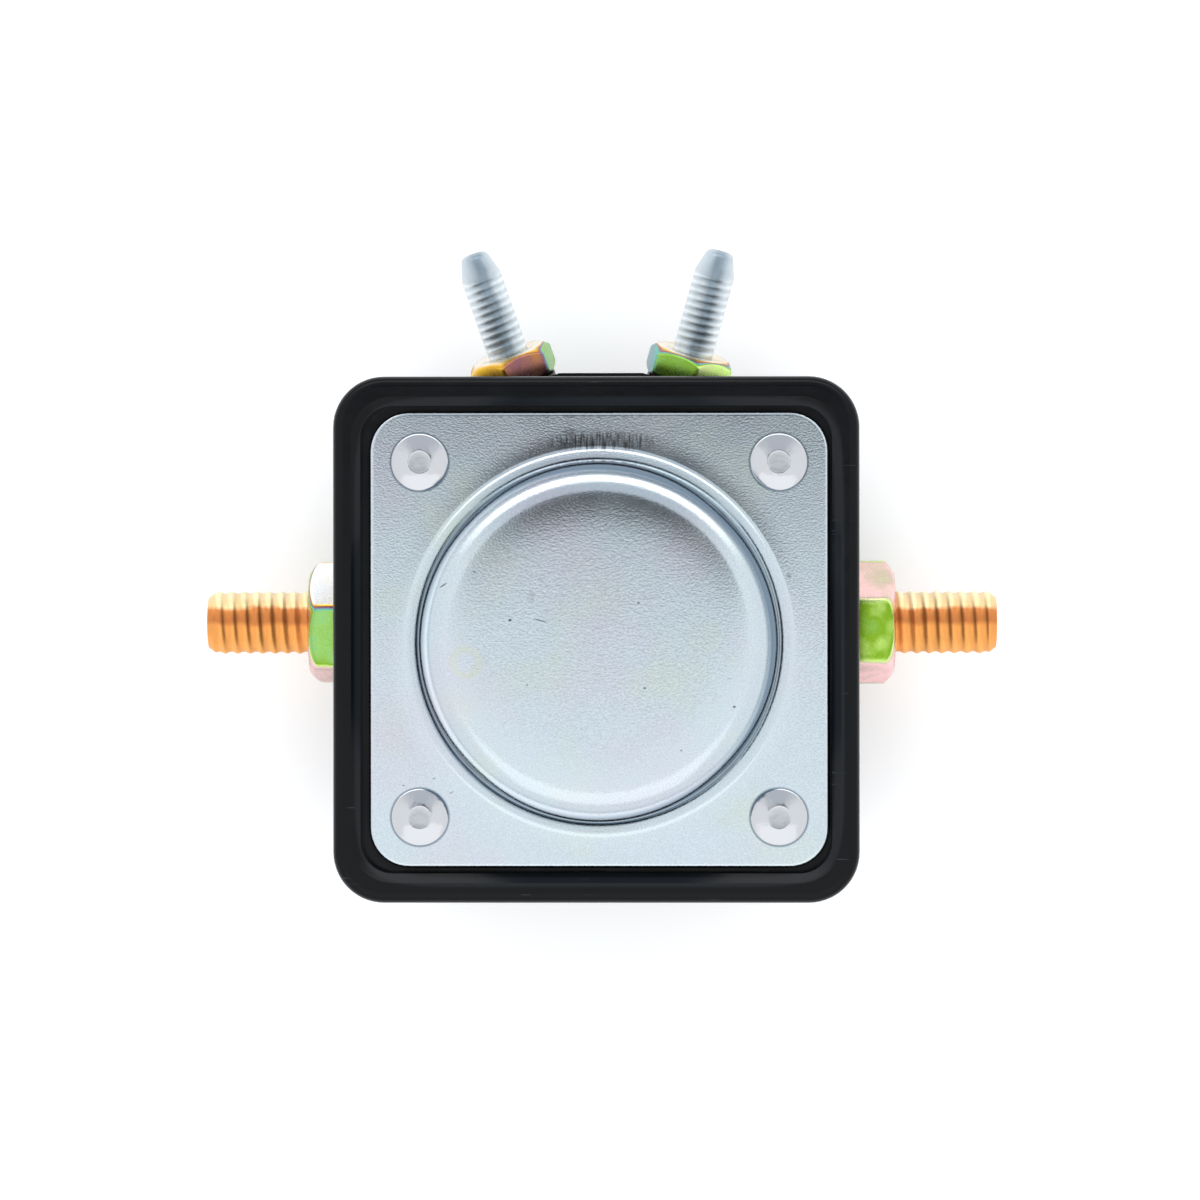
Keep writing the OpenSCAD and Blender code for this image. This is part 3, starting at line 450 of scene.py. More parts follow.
# How far the painted highlights and shade wander with the cloudy patches, and shades that the patches give
PAINTED_LIGHT_DRIFT, CLOUD_SHADES = 0.04, (0.92, 1.04)
# Depth under the crest at which the darker root, partly the metal's own tone and partly painted shade, has
# faded, as a share of the thread's, and its strength
ROOT_FADE, ROOT_OXIDE_SHADE_STRENGTH = 0.3, 0.3


def thread_metal(name, painted_light, root, roughness, axis_at, axis, across, crest_r, depth, patch):
    """Rolled thread in bare or plated metal: roots darkened partly by the metal's own tone and partly by
    painted shade, and painted highlights and shade across the stud's sides.
    """
    made, tree, place = new_material(name)
    own = add(tree, "VectorMath", [place, tuple(axis_at)], operation="SUBTRACT")
    away = add(tree, "VectorMath", [own, tuple(axis)], operation="CROSS_PRODUCT")
    away = add(tree, "VectorMath", [away], operation="LENGTH")
    side = add(tree, "VectorMath", [own, tuple(across)], operation="DOT_PRODUCT")
    patches = add(tree, "TexNoise", [place, 1 / patch, 4.0])
    fine = add(tree, "TexNoise", [place, 1 / THREAD_GRAIN, 2.0])
    side = add(tree, "Math", [add(tree, "MapRange", [side, -crest_r, crest_r, 0.0, 1.0]),
                              add(tree, "MapRange", [patches, *NOISE_SPAN, -PAINTED_LIGHT_DRIFT, PAINTED_LIGHT_DRIFT])],
               operation="ADD")
    # Painted highlights and shade: the colour follows the side of the stud
    base = add(tree, "ValToRGB", [side], stops=painted_light)
    # Darker roots: partly the metal's own tone, partly painted shade in the hollows of the thread
    low = add(tree, "MapRange", [away, crest_r - depth, crest_r - depth * ROOT_FADE, ROOT_OXIDE_SHADE_STRENGTH, 0.0])
    base = add(tree, "Mix", [low, base, linear(root)])
    cloudy = add(tree, "MapRange", [patches, *NOISE_SPAN, *CLOUD_SHADES])
    base = add(tree, "Mix", [1.0, base, cloudy], blend_type="MULTIPLY")
    rough = add(tree, "MapRange", [fine, *NOISE_SPAN, roughness, roughness + ROUGHER])
    bump = add(tree, "Bump", {"Height": patches, "Distance": THREAD_DENTS, "Strength": 0.5})
    return surface(made, base, rough, bump, Metallic=1.0)


# Colours of a passivation film as it thickens
FILM_STOPS = [(0.0, "#f2f2f3"), (1.0, "#c9b0a8"), (0.1, "#efe6d4"), (0.2, "#e3b13a"), (0.3, "#b98043"),
              (0.38, "#8f6065"), (0.46, "#8b7aa0"), (0.54, "#5cb8ab"), (0.62, "#8fbf68"),
              (0.7, "#7ba526"), (0.78, "#d2f08c"), (0.86, "#c9b8a3"), (0.93, "#ffcccd")]


def rainbow_plating():
    """Zinc plating under a rainbow chromate film, whose tint changes from flat to flat; the tints are partly
    the film's own and partly painted light, paler on flats that catch the light.
    """
    s = bpy.context.scene.relay_plating
    made, tree, place = new_material("rainbow_passivated_zinc")
    film = add(tree, "Attribute", out="Fac", attribute_name="film")
    patches = add(tree, "TexNoise", [place, 1 / s.patch, 3.0])
    fine = add(tree, "TexNoise", [place, 1 / s.grain, 2.0])
    drift = add(tree, "MapRange", [patches, *WIDE_SPAN, -s.drift, s.drift])
    thick = add(tree, "Math", [film, drift], operation="ADD")
    rough = add(tree, "MapRange", [fine, *NOISE_SPAN, s.roughness, s.roughness + ROUGHER])
    bump = add(tree, "Bump", {"Height": fine, "Distance": s.grain_depth, "Strength": 0.5})
    return surface(made, add(tree, "ValToRGB", [thick], stops=FILM_STOPS), rough, bump, Metallic=1.0)


# Where a rivet's dull flat starts to fade and where it ends, as shares of its radius
FLAT_FADE = (0.93, 1.03)


def rivet_steel(centres, top):
    """Zinc plated steel, cold headed: smooth and bright, with a dull flat under the tool."""
    s = bpy.context.scene.relay_rivet
    made, tree, place = new_material("headed_rivet_steel")
    fine = add(tree, "TexNoise", [place, 1 / s.grain, 3.0])
    slow = add(tree, "TexNoise", [place, 1 / s.dent, 2.0])
    away = [add(tree, "VectorMath", [place, (x, y, top)], operation="DISTANCE") for x, y in centres]
    near, far = (s.flat_r * k for k in FLAT_FADE)
    flat = strongest(tree, [add(tree, "MapRange", [k, near, far, 1.0, 0.0]) for k in away])
    base = add(tree, "Mix", [flat, linear(s.steel), linear(s.dull)])
    rough = add(tree, "MapRange", [flat, 0.0, 1.0, s.roughness, s.flat_roughness])
    dents = add(tree, "Bump", {"Height": slow, "Distance": s.dent_depth, "Strength": 0.5})
    bump = add(tree, "Bump", {"Height": fine, "Distance": s.grain_depth, "Strength": 0.5, "Normal": dents})
    return surface(made, base, rough, bump, Metallic=1.0)


# Range of noise over which an inner part's second shade comes in, and how far its roughness wanders
SHADE_SPAN, ROUGH_DRIFT = (0.35, 0.65), (-0.08, 0.12)


def worked(name, colour, second, roughness, metallic, grain, depth, stretch=(1.0, 1.0, 1.0)):
    """A plain inner part's finish: two shades, mixed and embossed by a grain of real size."""
    made, tree, place = new_material(name)
    own = add(tree, "Mapping", {"Vector": place, "Scale": tuple(k / (grain * MM) for k in stretch)})
    grained = add(tree, "TexNoise", [own, 1.0, 3.0])
    base = add(tree, "Mix", [add(tree, "MapRange", [grained, *SHADE_SPAN]), linear(colour), linear(second)])
    rough = add(tree, "MapRange", [grained, 0.0, 1.0, *[roughness + k for k in ROUGH_DRIFT]])
    bump = add(tree, "Bump", {"Height": grained, "Distance": depth * MM, "Strength": 0.6})
    return surface(made, base, rough, bump, Metallic=metallic)


def dress(material, *nodes):
    """Gives CAD nodes their material and leaves their meshes alone."""
    for name in nodes:
        materials = frame["nodes"][name].data.materials
        materials.clear()
        materials.append(material)


def finish_piece(bm, name, body, material, nodes, sharp):
    """Turns a bmesh into a piece that rides on a body and stands for its CAD nodes."""
    bmesh.ops.recalc_face_normals(bm, faces=bm.faces)
    mesh = bpy.data.meshes.new(name)
    bm.to_mesh(mesh)
    bm.free()
    for face in mesh.polygons:
        face.use_smooth = True
    mesh.set_sharp_from_angle(angle=math.radians(sharp))
    mesh.materials.append(material)
    piece = bpy.data.objects.new(name, mesh)
    bpy.context.scene.collection.objects.link(piece)
    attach(piece, body)
    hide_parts(*nodes)
    return piece


# Distance within which two points of a turned outline are one, and the same for a thread
SEAM, THREAD_SEAM = 0.0005 * MM, 0.001 * MM


def profile(bm, points):
    """A chain of edges through (radius, height) points in the XZ plane."""
    verts = [bm.verts.new((r, 0.0, z)) for r, z in points]
    edges = [bm.edges.new(pair) for pair in zip(verts, verts[1:])]
    return verts + edges


def turned(bm, points, steps):
    """Turns an outline of (radius, height) points once round the Z axis."""
    before = set(bm.verts)
    bmesh.ops.spin(bm, geom=profile(bm, points), cent=(0, 0, 0), axis=(0, 0, 1),
                   angle=math.tau, steps=steps, use_merge=True)
    made = [v for v in bm.verts if v not in before]
    bmesh.ops.remove_doubles(bm, verts=made, dist=SEAM)
    return [v for v in made if v.is_valid]


def threaded(bm, crest_r, depth, pitch, low, high, limit, steps=64):
    """Winds a thread up the Z axis between two heights and holds it under limit(height)."""
    before = set(bm.verts)
    turns = math.ceil((high - low) / pitch) + 2
    outline = [(crest_r - depth + h * depth, low + (p - 1) * pitch) for p, h in THREAD_SHARES]
    bmesh.ops.spin(bm, geom=profile(bm, outline), cent=(0, 0, 0), axis=(0, 0, 1),
                   dvec=(0, 0, pitch / steps), angle=math.tau * turns, steps=steps * turns)
    bmesh.ops.remove_doubles(bm, verts=[v for v in bm.verts if v not in before], dist=THREAD_SEAM)
    for height, way in ((low, -1), (high, 1)):
        mine = [g for g in [*bm.verts, *bm.edges, *bm.faces] if g not in before]
        bmesh.ops.bisect_plane(bm, geom=mine, plane_co=(0, 0, height), plane_no=(0, 0, way),
                               clear_outer=True)
    made = [v for v in bm.verts if v not in before]
    for v in made:
        radius = math.hypot(v.co.x, v.co.y)
        keep = min(radius, limit(v.co.z)) / radius
        v.co.x *= keep
        v.co.y *= keep
    edges = [e for e in bm.edges if e.is_boundary]
    caps = bmesh.ops.holes_fill(bm, edges=edges, sides=0)["faces"]
    bmesh.ops.triangulate(bm, faces=caps)


def stand(bm, origin, axis, across):
    """Takes a mesh from the Z axis to an axis through origin, and its X to a direction across it."""
    axis, across = Vector(axis).normalized(), Vector(across).normalized()
    turn = Matrix((across, axis.cross(across), axis)).transposed().to_4x4()
    bmesh.ops.transform(bm, matrix=Matrix.Translation(origin) @ turn, verts=bm.verts)


def block(bm, low, high, rounding):
    """A bevelled block between two corners."""
    centre, size = (low + high) / 2, high - low
    cube = bmesh.ops.create_cube(bm, size=1.0)["verts"]
    bmesh.ops.scale(bm, vec=size, verts=cube)
    bmesh.ops.translate(bm, vec=centre, verts=cube)
    edges = list({e for v in cube for e in v.link_edges})
    bmesh.ops.bevel(bm, geom=edges, offset=rounding, segments=3, profile=0.5, affect="EDGES", material=-1)


# Lead of a nut's bore, its edges and its chamfer, as shares of its width across flats
NUT_LEAD, NUT_EDGE, NUT_CHAMFER = 0.055, 0.016, 0.045
# Slope of a nut's chamfer
NUT_SLOPE = math.tan(math.radians(36))
# Power of the mean that keeps a nut's flats flat and rounds its corners
NUT_POWER = 70
# Lip where a nut's flats meet their chamfer: how far in and up it starts, as shares of the edge
LIP_IN, LIP_UP = 0.3, 0.1
# Where a flat's tint starts to go over into the next one's, and over what width, in flats
TINT_AT, TINT_WIDE = 0.44, 0.12
# How far one shape of a piece reaches into another
OVERLAP = 1 * MM
# Gap between a thread's root and a nut's bore
THREAD_GAP = 0.1 * MM
# How far the end of a thread is drawn in, so that the point starts clear of it
RUNOUT = 0.2 * MM
# Share of a domed face that its arc covers, so that a narrow bevel is left at its edge
DOME_SHARE = 0.985


def hex_nut(bm, flats, thick, bore_r, turn, film, steps=180):
    """Chamfered hexagon nut on the Z axis, its seat at zero, with a film layer for its tint, which is partly
    painted light.
    """
    layer = bm.verts.layers.float.new("film")
    half = flats / 2
    lead, edge, round_r = NUT_LEAD * flats, NUT_EDGE * flats, half - NUT_CHAMFER * flats
    drop = (half - round_r) * NUT_SLOPE
    # From the bore's foot, out under the seat, up the flats, over the chamfer and down into the bore
    outline = [(bore_r, lead), (bore_r + lead, 0), (round_r, 0), (half - edge, drop - edge * NUT_SLOPE),
               (half - LIP_IN * edge, drop + LIP_UP * edge), (half, drop + edge),
               (half, thick - drop - edge), (half - LIP_IN * edge, thick - drop - LIP_UP * edge),
               (half - edge, thick - drop + edge * NUT_SLOPE), (round_r, thick), (bore_r + lead, thick),
               (bore_r, thick - lead), (bore_r, lead)]
    for v in turned(bm, outline, steps):
        radius, bearing = math.hypot(v.co.x, v.co.y), math.atan2(v.co.y, v.co.x) - turn
        side = bearing / math.radians(60)
        if radius <= round_r + 0.1 * edge:
            v[layer] = film[6]
            continue
        # A high power mean of the six flats keeps them flat and rounds the corners
        mean = sum(max(0.0, math.cos(bearing - k * math.radians(60))) ** NUT_POWER for k in range(6))
        grown = half * mean ** (-1 / NUT_POWER) - half
        v.co.x *= (radius + grown) / radius
        v.co.y *= (radius + grown) / radius
        v.co.z += grown * NUT_SLOPE * (-1 if v.co.z > thick / 2 else 1)
        here, near = round(side) % 6, (round(side) + (1 if side > round(side) else -1)) % 6
        mixed = max(0.0, (abs(side - round(side)) - TINT_AT) / TINT_WIDE)
        v[layer] = film[here] * (1 - mixed) + film[near] * mixed


def dome_arc(radius, height, low_r, high_r, count):
    """Points on a spherical cap, from a small radius out to a large one."""
    ball = (radius ** 2 + height ** 2) / (2 * height)
    out = [low_r + (high_r - low_r) * i / count for i in range(count + 1)]
    return [(r, height - ball + math.sqrt(ball ** 2 - r ** 2)) for r in out]


def rounded(bearing, half, centre_y, corner):
    """Point of a rounded rectangle's outline that lies in a direction from the origin."""
    way = Vector((math.cos(bearing), math.sin(bearing)))
    right, up = (1 if way.x > 0 else -1), (1 if way.y > 0 else -1)
    reach = half.x / max(abs(way.x), 1e-9)
    if abs(reach * way.y - centre_y) <= half.y - corner:
        return way * reach
    reach = (up * centre_y + half.y) / max(abs(way.y), 1e-9)
    if abs(reach * way.x) <= half.x - corner:
        return way * reach
    middle = Vector((right * (half.x - corner), centre_y + up * (half.y - corner)))
    along = way.dot(middle)
    return way * (along + math.sqrt(along ** 2 - middle.length_squared + corner ** 2))


def arc(middle_r, middle_z, radius, first, last, count):
    """Points (radius, height) on an arc, between two angles given from straight up."""
    angles = [first + (last - first) * i / count for i in range(count + 1)]
    return [(middle_r + radius * math.sin(a), middle_z + radius * math.cos(a)) for a in angles]


# Powers of the way out by which the dome's face drops and the plate's swell runs out
FACE_POWER, SWELL_POWER = 4, 3


def dome_rings(s, plate_top, top):
    """Rings (radius, height) from the flat of the dome's face, down its wall and out over the plate."""
    quarter = math.radians(90)
    face_r = s.wall_r - s.shoulder * (1 - math.sin(s.roll))
    # The powers let each slope end smoothly
    drop = (face_r - s.flat_r) * math.tan(s.roll) / FACE_POWER
    rise = (s.swell_r - s.foot_r) * math.tan(s.swell) / SWELL_POWER
    shares = [i / 12 for i in range(13)]
    face = [(s.flat_r + k * (face_r - s.flat_r), top - drop * k ** FACE_POWER) for k in shares]
    shoulder = arc(s.wall_r - s.shoulder, top - drop - s.shoulder * math.cos(s.roll), s.shoulder,
                   s.roll, quarter, 24)[1:]
    foot = arc(s.foot_r + s.foot * math.sin(s.swell), plate_top + rise + s.foot * math.cos(s.swell), s.foot,
               2 * quarter + s.flare, 2 * quarter + s.swell, 14)
    # The knee is set so that a straight flare joins it to the foot
    knee_r = s.wall_r + s.knee * (1 - math.sin(s.flare))
    knee_z = foot[0][1] + (foot[0][0] - knee_r) * math.tan(s.flare)
    knee = arc(s.wall_r + s.knee, knee_z + s.knee * math.cos(s.flare), s.knee,
               3 * quarter, 2 * quarter + s.flare, 8)
    swell = [(s.foot_r + k * (s.swell_r - s.foot_r), plate_top + rise * (1 - k) ** SWELL_POWER)
             for k in shares[1:]]
    return face + shoulder + knee + foot + swell


def edge_rings(s, plate_top, bottom):
    """Rings round the plate's edge, by how far they lie inside its outline, and by height."""
    turns = [i * math.radians(90) / 6 for i in range(7)]
    edge = [(s.edge - s.edge * math.sin(a), plate_top - s.edge + s.edge * math.cos(a)) for a in turns]
    return [(s.edge * 1.3, plate_top), *edge, (0.0, bottom)]


def under_rings(s, bottom, top):
    """Rings (radius, height) under the sheet, from the plate back to the middle of the dome."""
    quarter = math.radians(90)
    foot = arc(s.wall_r, bottom + s.inner_foot, s.inner_foot, 2 * quarter, 3 * quarter, 6)
    shoulder = arc(s.wall_r - s.shoulder, top - s.shoulder, s.shoulder - s.plate, 0.0, quarter, 8)
    return foot + shoulder[::-1]


def coil_place(s, name):
    """A coil stud's pin, its seat, its axis, and a direction across it."""
    pin = PINS[f"coil_terminal_{name}"]
    axis = Vector(pin["axis"])
    seat = Vector(pin["pos_m"]) - axis * (s.reach - s.point - pin["dims"]["length_mm"] * MM / 2)
    return pin, seat, axis, axis.cross((0, 0, 1))


class RELAY_OT_housing(bpy.types.Operator):
    """Gives the moulded housing and its gasket their finish"""
    bl_idname = "relay.housing"
    bl_label = "Housing"

    def execute(self, context):
        dress(phenolic(), "housing")
        # Pressed fibre sheet, almost black, with a felted grain
        dress(worked("pressed_fibre_gasket", "#14181a", "#262b2c", 0.8, 0.0, 0.3, 0.03), "gasket")
        return {"FINISHED"}


class RELAY_OT_cover(bpy.types.Operator):
    """Models the drawn cover with its rolled shoulder and the soft curve at the dome's foot"""
    bl_idname = "relay.cover"
    bl_label = "Cover"

    def execute(self, context):
        s = context.scene.relay_sheet
        low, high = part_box("cover")
        half, centre_y = (high - low).xy / 2, (high.y + low.y) / 2
        plate_top = low.z + s.plate
        rings = [(r, z, None) for r, z in dome_rings(s, plate_top, high.z)]
        rings += [(None, z, inset) for inset, z in edge_rings(s, plate_top, low.z)]
        rings += [(r, z, None) for r, z in under_rings(s, low.z, high.z)]
        bm = bmesh.new()
        first = bmesh.ops.create_circle(bm, segments=360, radius=s.flat_r, cap_ends=True)["verts"]
        bmesh.ops.translate(bm, vec=(0, 0, high.z), verts=first)
        edges = list(bm.edges)
        for r, z, inset in rings[1:]:
            made = bmesh.ops.extrude_edge_only(bm, edges=edges)["geom"]
            edges = [g for g in made if isinstance(g, bmesh.types.BMEdge) and g.is_boundary]
            for v in {v for e in edges for v in e.verts}:
                bearing = math.atan2(v.co.y, v.co.x)
                if inset is None:
                    v.co = (r * math.cos(bearing), r * math.sin(bearing), z)
                else:
                    spot = rounded(bearing, half - Vector((inset, inset)), centre_y, s.corner - inset)
                    v.co = (spot.x, spot.y, z)
        bmesh.ops.holes_fill(bm, edges=edges, sides=0)
        inset = context.scene.relay_rivet.inset
        material = zinc_sheet(half - Vector((inset, inset)), centre_y)
        finish_piece(bm, "drawn_cover", "frame", material, ["cover"], 30)
        return {"FINISHED"}


# Outline of the tool's flat on a rivet: shares of the flat's radius, and heights
FLAT_OUTLINE = [(0.0, 0.0), (0.5, 0.0), (0.86, 0.0), (0.94, 0.015 * MM)]
# How far under the dome a head's straight edge starts, and how far its foot is chamfered, up and in
EDGE_DROP, EDGE_UP, EDGE_IN = 0.03 * MM, 0.02 * MM, 0.05 * MM
# Share of a clenched tail that bulges, and how far in its upper side starts
BULGE_SHARE, TAIL_IN = 0.9, 0.1 * MM


class RELAY_OT_rivets(bpy.types.Operator):
    """Models the four rivets with their heads, flats and clenched tails"""
    bl_idname = "relay.rivets"
    bl_label = "Rivets"

    def execute(self, context):
        s = context.scene.relay_rivet
        low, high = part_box("cover")
        plate_top = low.z + context.scene.relay_sheet.plate
        tail_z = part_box("rivets")[0].z
        centres = [(x, y) for x in (low.x + s.inset, high.x - s.inset)
                   for y in (low.y + s.inset, high.y - s.inset)]
        # Heads are turned from the tool's flat, with a small step round it, to the straight edge
        dome = [(r, s.edge + z) for r, z in dome_arc(s.head_r, s.crown, s.flat_r, s.head_r * DOME_SHARE, 16)]
        flat_z = dome[0][1] - s.flat_drop
        flat = [(s.flat_r * k, flat_z + z) for k, z in FLAT_OUTLINE]
        edge = [(s.head_r, s.edge - EDGE_DROP), (s.head_r, EDGE_UP), (s.head_r - EDGE_IN, 0.0)]
        tail_top = tail_z + s.tail_h - plate_top
        tail = [(s.shank_r, 0.0), (s.shank_r, tail_top), (s.tail_r - TAIL_IN, tail_top)]
        bulge_h = s.tail_h * BULGE_SHARE
        bulge = dome_arc(s.tail_r, bulge_h, 0.0, s.tail_r * DOME_SHARE, 8)
        tail += [(r, tail_z - plate_top + bulge_h - z) for r, z in reversed(bulge)]
        bm = bmesh.new()
        for x, y in centres:
            verts = turned(bm, flat + dome + edge + tail, s.steps)
            bmesh.ops.translate(bm, vec=(x, y, plate_top), verts=verts)
        finish_piece(bm, "headed_rivets", "frame",
                     rivet_steel(centres, plate_top + flat_z), ["rivets"], 50)
        return {"FINISHED"}


class RELAY_OT_line_studs(bpy.types.Operator):
    """Models the two copper studs with their rolled threads and inner heads"""
    bl_idname = "relay.line_studs"
    bl_label = "Line studs"

    def execute(self, context):
        s = context.scene.relay_line
        for name, side in SIDES.items():
            pin = PINS[f"line_terminal_{name}"]
            crest_r = pin["dims"]["r_mm"] * MM
            axis_at = Vector((0, pin["pos_m"][1], pin["pos_m"][2]))
            low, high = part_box(f"line_stud_{name}")
            near, far = sorted((abs(low.x), abs(high.x)))
            nut_low = min(abs(c.x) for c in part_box(f"line_nut_{name}"))
            bm = bmesh.new()
            limit_at = far - s.chamfer
            slope = s.chamfer_in / s.chamfer
            threaded(bm, crest_r, s.depth, s.pitch, nut_low, far,
                     lambda z: crest_r - max(0.0, z - limit_at) * slope)
            shank_r = crest_r - s.depth
            turned(bm, [(0.0, near + OVERLAP), (shank_r, near + OVERLAP), (shank_r, nut_low + OVERLAP),
                        (0.0, nut_low + OVERLAP)], 48)
            stand(bm, axis_at, (side, 0, 0), (0, 0, -side))
            ends = sorted((side * near, side * (near + s.head_t)))
            block(bm, Vector((ends[0], low.y, low.z)), Vector((ends[1], high.y, high.z)), s.head_edge)
            metal = thread_metal(f"rolled_copper_{name}", COPPER_PAINTED_LIGHT, s.root, s.roughness,
                                 axis_at, (1, 0, 0), (0, 1, 0), crest_r, s.depth, s.patch)
            finish_piece(bm, f"copper_stud_{name}", "frame", metal, [f"line_stud_{name}"], 60)
        return {"FINISHED"}


# Film thickness on the six flats of each nut and on its ends, set flat by flat: partly the film's own tint,
# partly painted light, with near-white tints on flats that catch the light
LINE_NUT_FILM_AND_LIGHT = {"left": [0.63, 0.02, 0.3, 0.7, 0.2, 0.98, 0.97],
             "right": [0.3, 0.62, 0.88, 0.7, 0.94, 0.2, 0.96]}
COIL_NUT_FILM_AND_LIGHT = {"left": [0.62, 0.7, 0.9, 0.3, 0.2, 0.36, 0.1],
             "right": [0.7, 0.3, 0.9, 0.54, 0.67, 0.78, 0.1]}


class RELAY_OT_line_nuts(bpy.types.Operator):
    """Models the two large nuts with rounded corners and a rainbow film"""
    bl_idname = "relay.line_nuts"
    bl_label = "Line nuts"

    def execute(self, context):
        s = context.scene.relay_line
        for name, side in SIDES.items():
            pin = PINS[f"line_terminal_{name}"]
            low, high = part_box(f"line_nut_{name}")
            seat = min(abs(low.x), abs(high.x))
            bm = bmesh.new()
            hex_nut(bm, s.nut_flats, high.x - low.x, pin["dims"]["r_mm"] * MM - s.depth + THREAD_GAP,
                    -s.left_turn if side < 0 else s.right_turn, LINE_NUT_FILM_AND_LIGHT[name])
            stand(bm, (side * seat, pin["pos_m"][1], pin["pos_m"][2]), (side, 0, 0), (0, 0, -side))
            finish_piece(bm, f"hexagon_nut_{name}", "frame", rainbow_plating(),
                         [f"line_nut_{name}"], 50)
        return {"FINISHED"}


# Height over which a stud's point grows from its root, and a step of its rounded end, in and down
POINT_STEP = 0.1 * MM
END_IN, END_DOWN = 0.4, 0.3


class RELAY_OT_coil_studs(bpy.types.Operator):
    """Models the two small plated studs with their threads, points and heads"""
    bl_idname = "relay.coil_studs"
    bl_label = "Coil studs"

    def execute(self, context):
        s = context.scene.relay_coil
        for name in SIDES:
            pin, seat, axis, across = coil_place(s, name)
            crest_r, point_at = pin["dims"]["r_mm"] * MM, s.reach - s.point
            point_r = crest_r - 0.5 * s.depth
            bm = bmesh.new()
            threaded(bm, crest_r, s.depth, s.pitch, 0.0, point_at,
                     lambda z: crest_r if z < point_at else crest_r - RUNOUT, steps=48)
            shank_r = crest_r - s.depth
            plain = [(0.0, point_at - OVERLAP), (shank_r, point_at - OVERLAP), (shank_r, point_at),
                     (point_r, point_at + POINT_STEP), (s.point_r, s.reach - s.point_edge),
                     (s.point_r - END_IN * s.point_edge, s.reach - END_DOWN * s.point_edge),
                     (s.point_r - s.point_edge, s.reach), (0.0, s.reach)]
            turned(bm, plain, 48)
            turned(bm, [(0.0, -s.head_depth), (s.head_r - s.head_edge, -s.head_depth),
                        (s.head_r, s.head_edge - s.head_depth), (s.head_r, s.head_t - s.head_depth),
                        (shank_r, s.head_t - s.head_depth), (shank_r, OVERLAP), (0.0, OVERLAP)], 48)
            stand(bm, seat, axis, across)
            metal = thread_metal(f"rolled_zinc_{name}", ZINC_PAINTED_LIGHT, s.root, s.roughness,
                                 seat, axis, across.normalized(), crest_r, s.depth, s.patch)
            finish_piece(bm, f"zinc_stud_{name}", "frame", metal, [f"coil_stud_{name}"], 60)
        return {"FINISHED"}


class RELAY_OT_coil_nuts(bpy.types.Operator):
    """Models the two small nuts at the feet of the coil studs"""
    bl_idname = "relay.coil_nuts"
    bl_label = "Coil nuts"

    def execute(self, context):
        s = context.scene.relay_coil
        for name, side in SIDES.items():
            pin, seat, axis, across = coil_place(s, name)
            bm = bmesh.new()
            hex_nut(bm, s.nut_flats, s.nut_thick, pin["dims"]["r_mm"] * MM - s.depth + THREAD_GAP,
                    side * s.turn, COIL_NUT_FILM_AND_LIGHT[name], steps=144)
            stand(bm, seat, axis, across)
            finish_piece(bm, f"small_nut_{name}", "frame", rainbow_plating(),
                         [f"coil_nut_{name}"], 50)
        return {"FINISHED"}


# Finishes of the sealed inner parts: name, two shades, roughness, metallic, grain in mm, depth in mm, stretch
INNER_FINISHES = {
    # Turned low-carbon steel, dull plated, with fine lathe rings
    ("coil_cup", "fixed_core", "plunger"):
        ("turned_soft_iron", "#aab0b4", "#8e959a", 0.38, 1.0, 0.3, 0.01, (0.1, 0.1, 1.0)),
    # Glass-filled moulding resin, slightly mottled
    ("bobbin",): ("moulded_bobbin_resin", "#2b3532", "#384440", 0.5, 0.0, 0.8, 0.02),
    # Enamelled copper wire, glossy and brown, with a band for every turn
    ("winding",):
        ("enamelled_copper_wire", "#9a4a22", "#6f2f12", 0.25, 0.0, 0.8, 0.02, (0.05, 0.05, 1.0)),
    # Varnished cloth tape, straw coloured
    ("winding_tape",):
        ("varnished_cloth_tape", "#b08a3c", "#94702c", 0.6, 0.0, 0.35, 0.03),
    # Drawn brass
    ("guide_tube", "coil_lug_left", "coil_lug_right"):
        ("drawn_brass", "#d9b464", "#c29a4a", 0.3, 1.0, 0.5, 0.006, (1.0, 1.0, 0.1)),
    # Varnished glass sleeve over the lead
    ("coil_lead_left", "coil_lead_right"): ("varnished_sleeve", "#7e2a26", "#5e1c1a", 0.5, 0.0, 0.3, 0.03),
    # Paper-filled phenolic board, punched
    ("line_stud_seals", "coil_stud_seals", "disc_bush_upper", "disc_bush_lower"):
        ("punched_fibre_board", "#6a4530", "#523423", 0.6, 0.0, 0.4, 0.02),
    # Moulded nitrile rubber
    ("bumper_pad",): ("moulded_rubber", "#202122", "#2b2c2d", 0.75, 0.0, 0.5, 0.03),
    # Centreless-ground non-magnetic steel
    ("plunger_rod",): ("ground_steel_rod", "#c0c2c4", "#a7aaad", 0.25, 1.0, 0.2, 0.004, (0.1, 0.1, 1.0)),
    # Blued spring steel, stamped
    ("rod_clip",): ("blued_spring_steel", "#3f464f", "#2d3238", 0.35, 1.0, 0.5, 0.01),
    # Cold-rolled copper, stamped and slightly tarnished
    ("contact_disc",): ("stamped_copper", "#d98a55", "#b8683a", 0.3, 1.0, 1.6, 0.01),
}


class RELAY_OT_inner_parts(bpy.types.Operator):
    """Gives the sealed inner parts their finishes"""
    bl_idname = "relay.inner_parts"
    bl_label = "Inner parts"

    def execute(self, context):
        for nodes, values in INNER_FINISHES.items():
            dress(worked(*values), *nodes)
        return {"FINISHED"}


# Rise of a spring's closed end turn, as a share of its wire
CLOSED_SHARE = 0.85


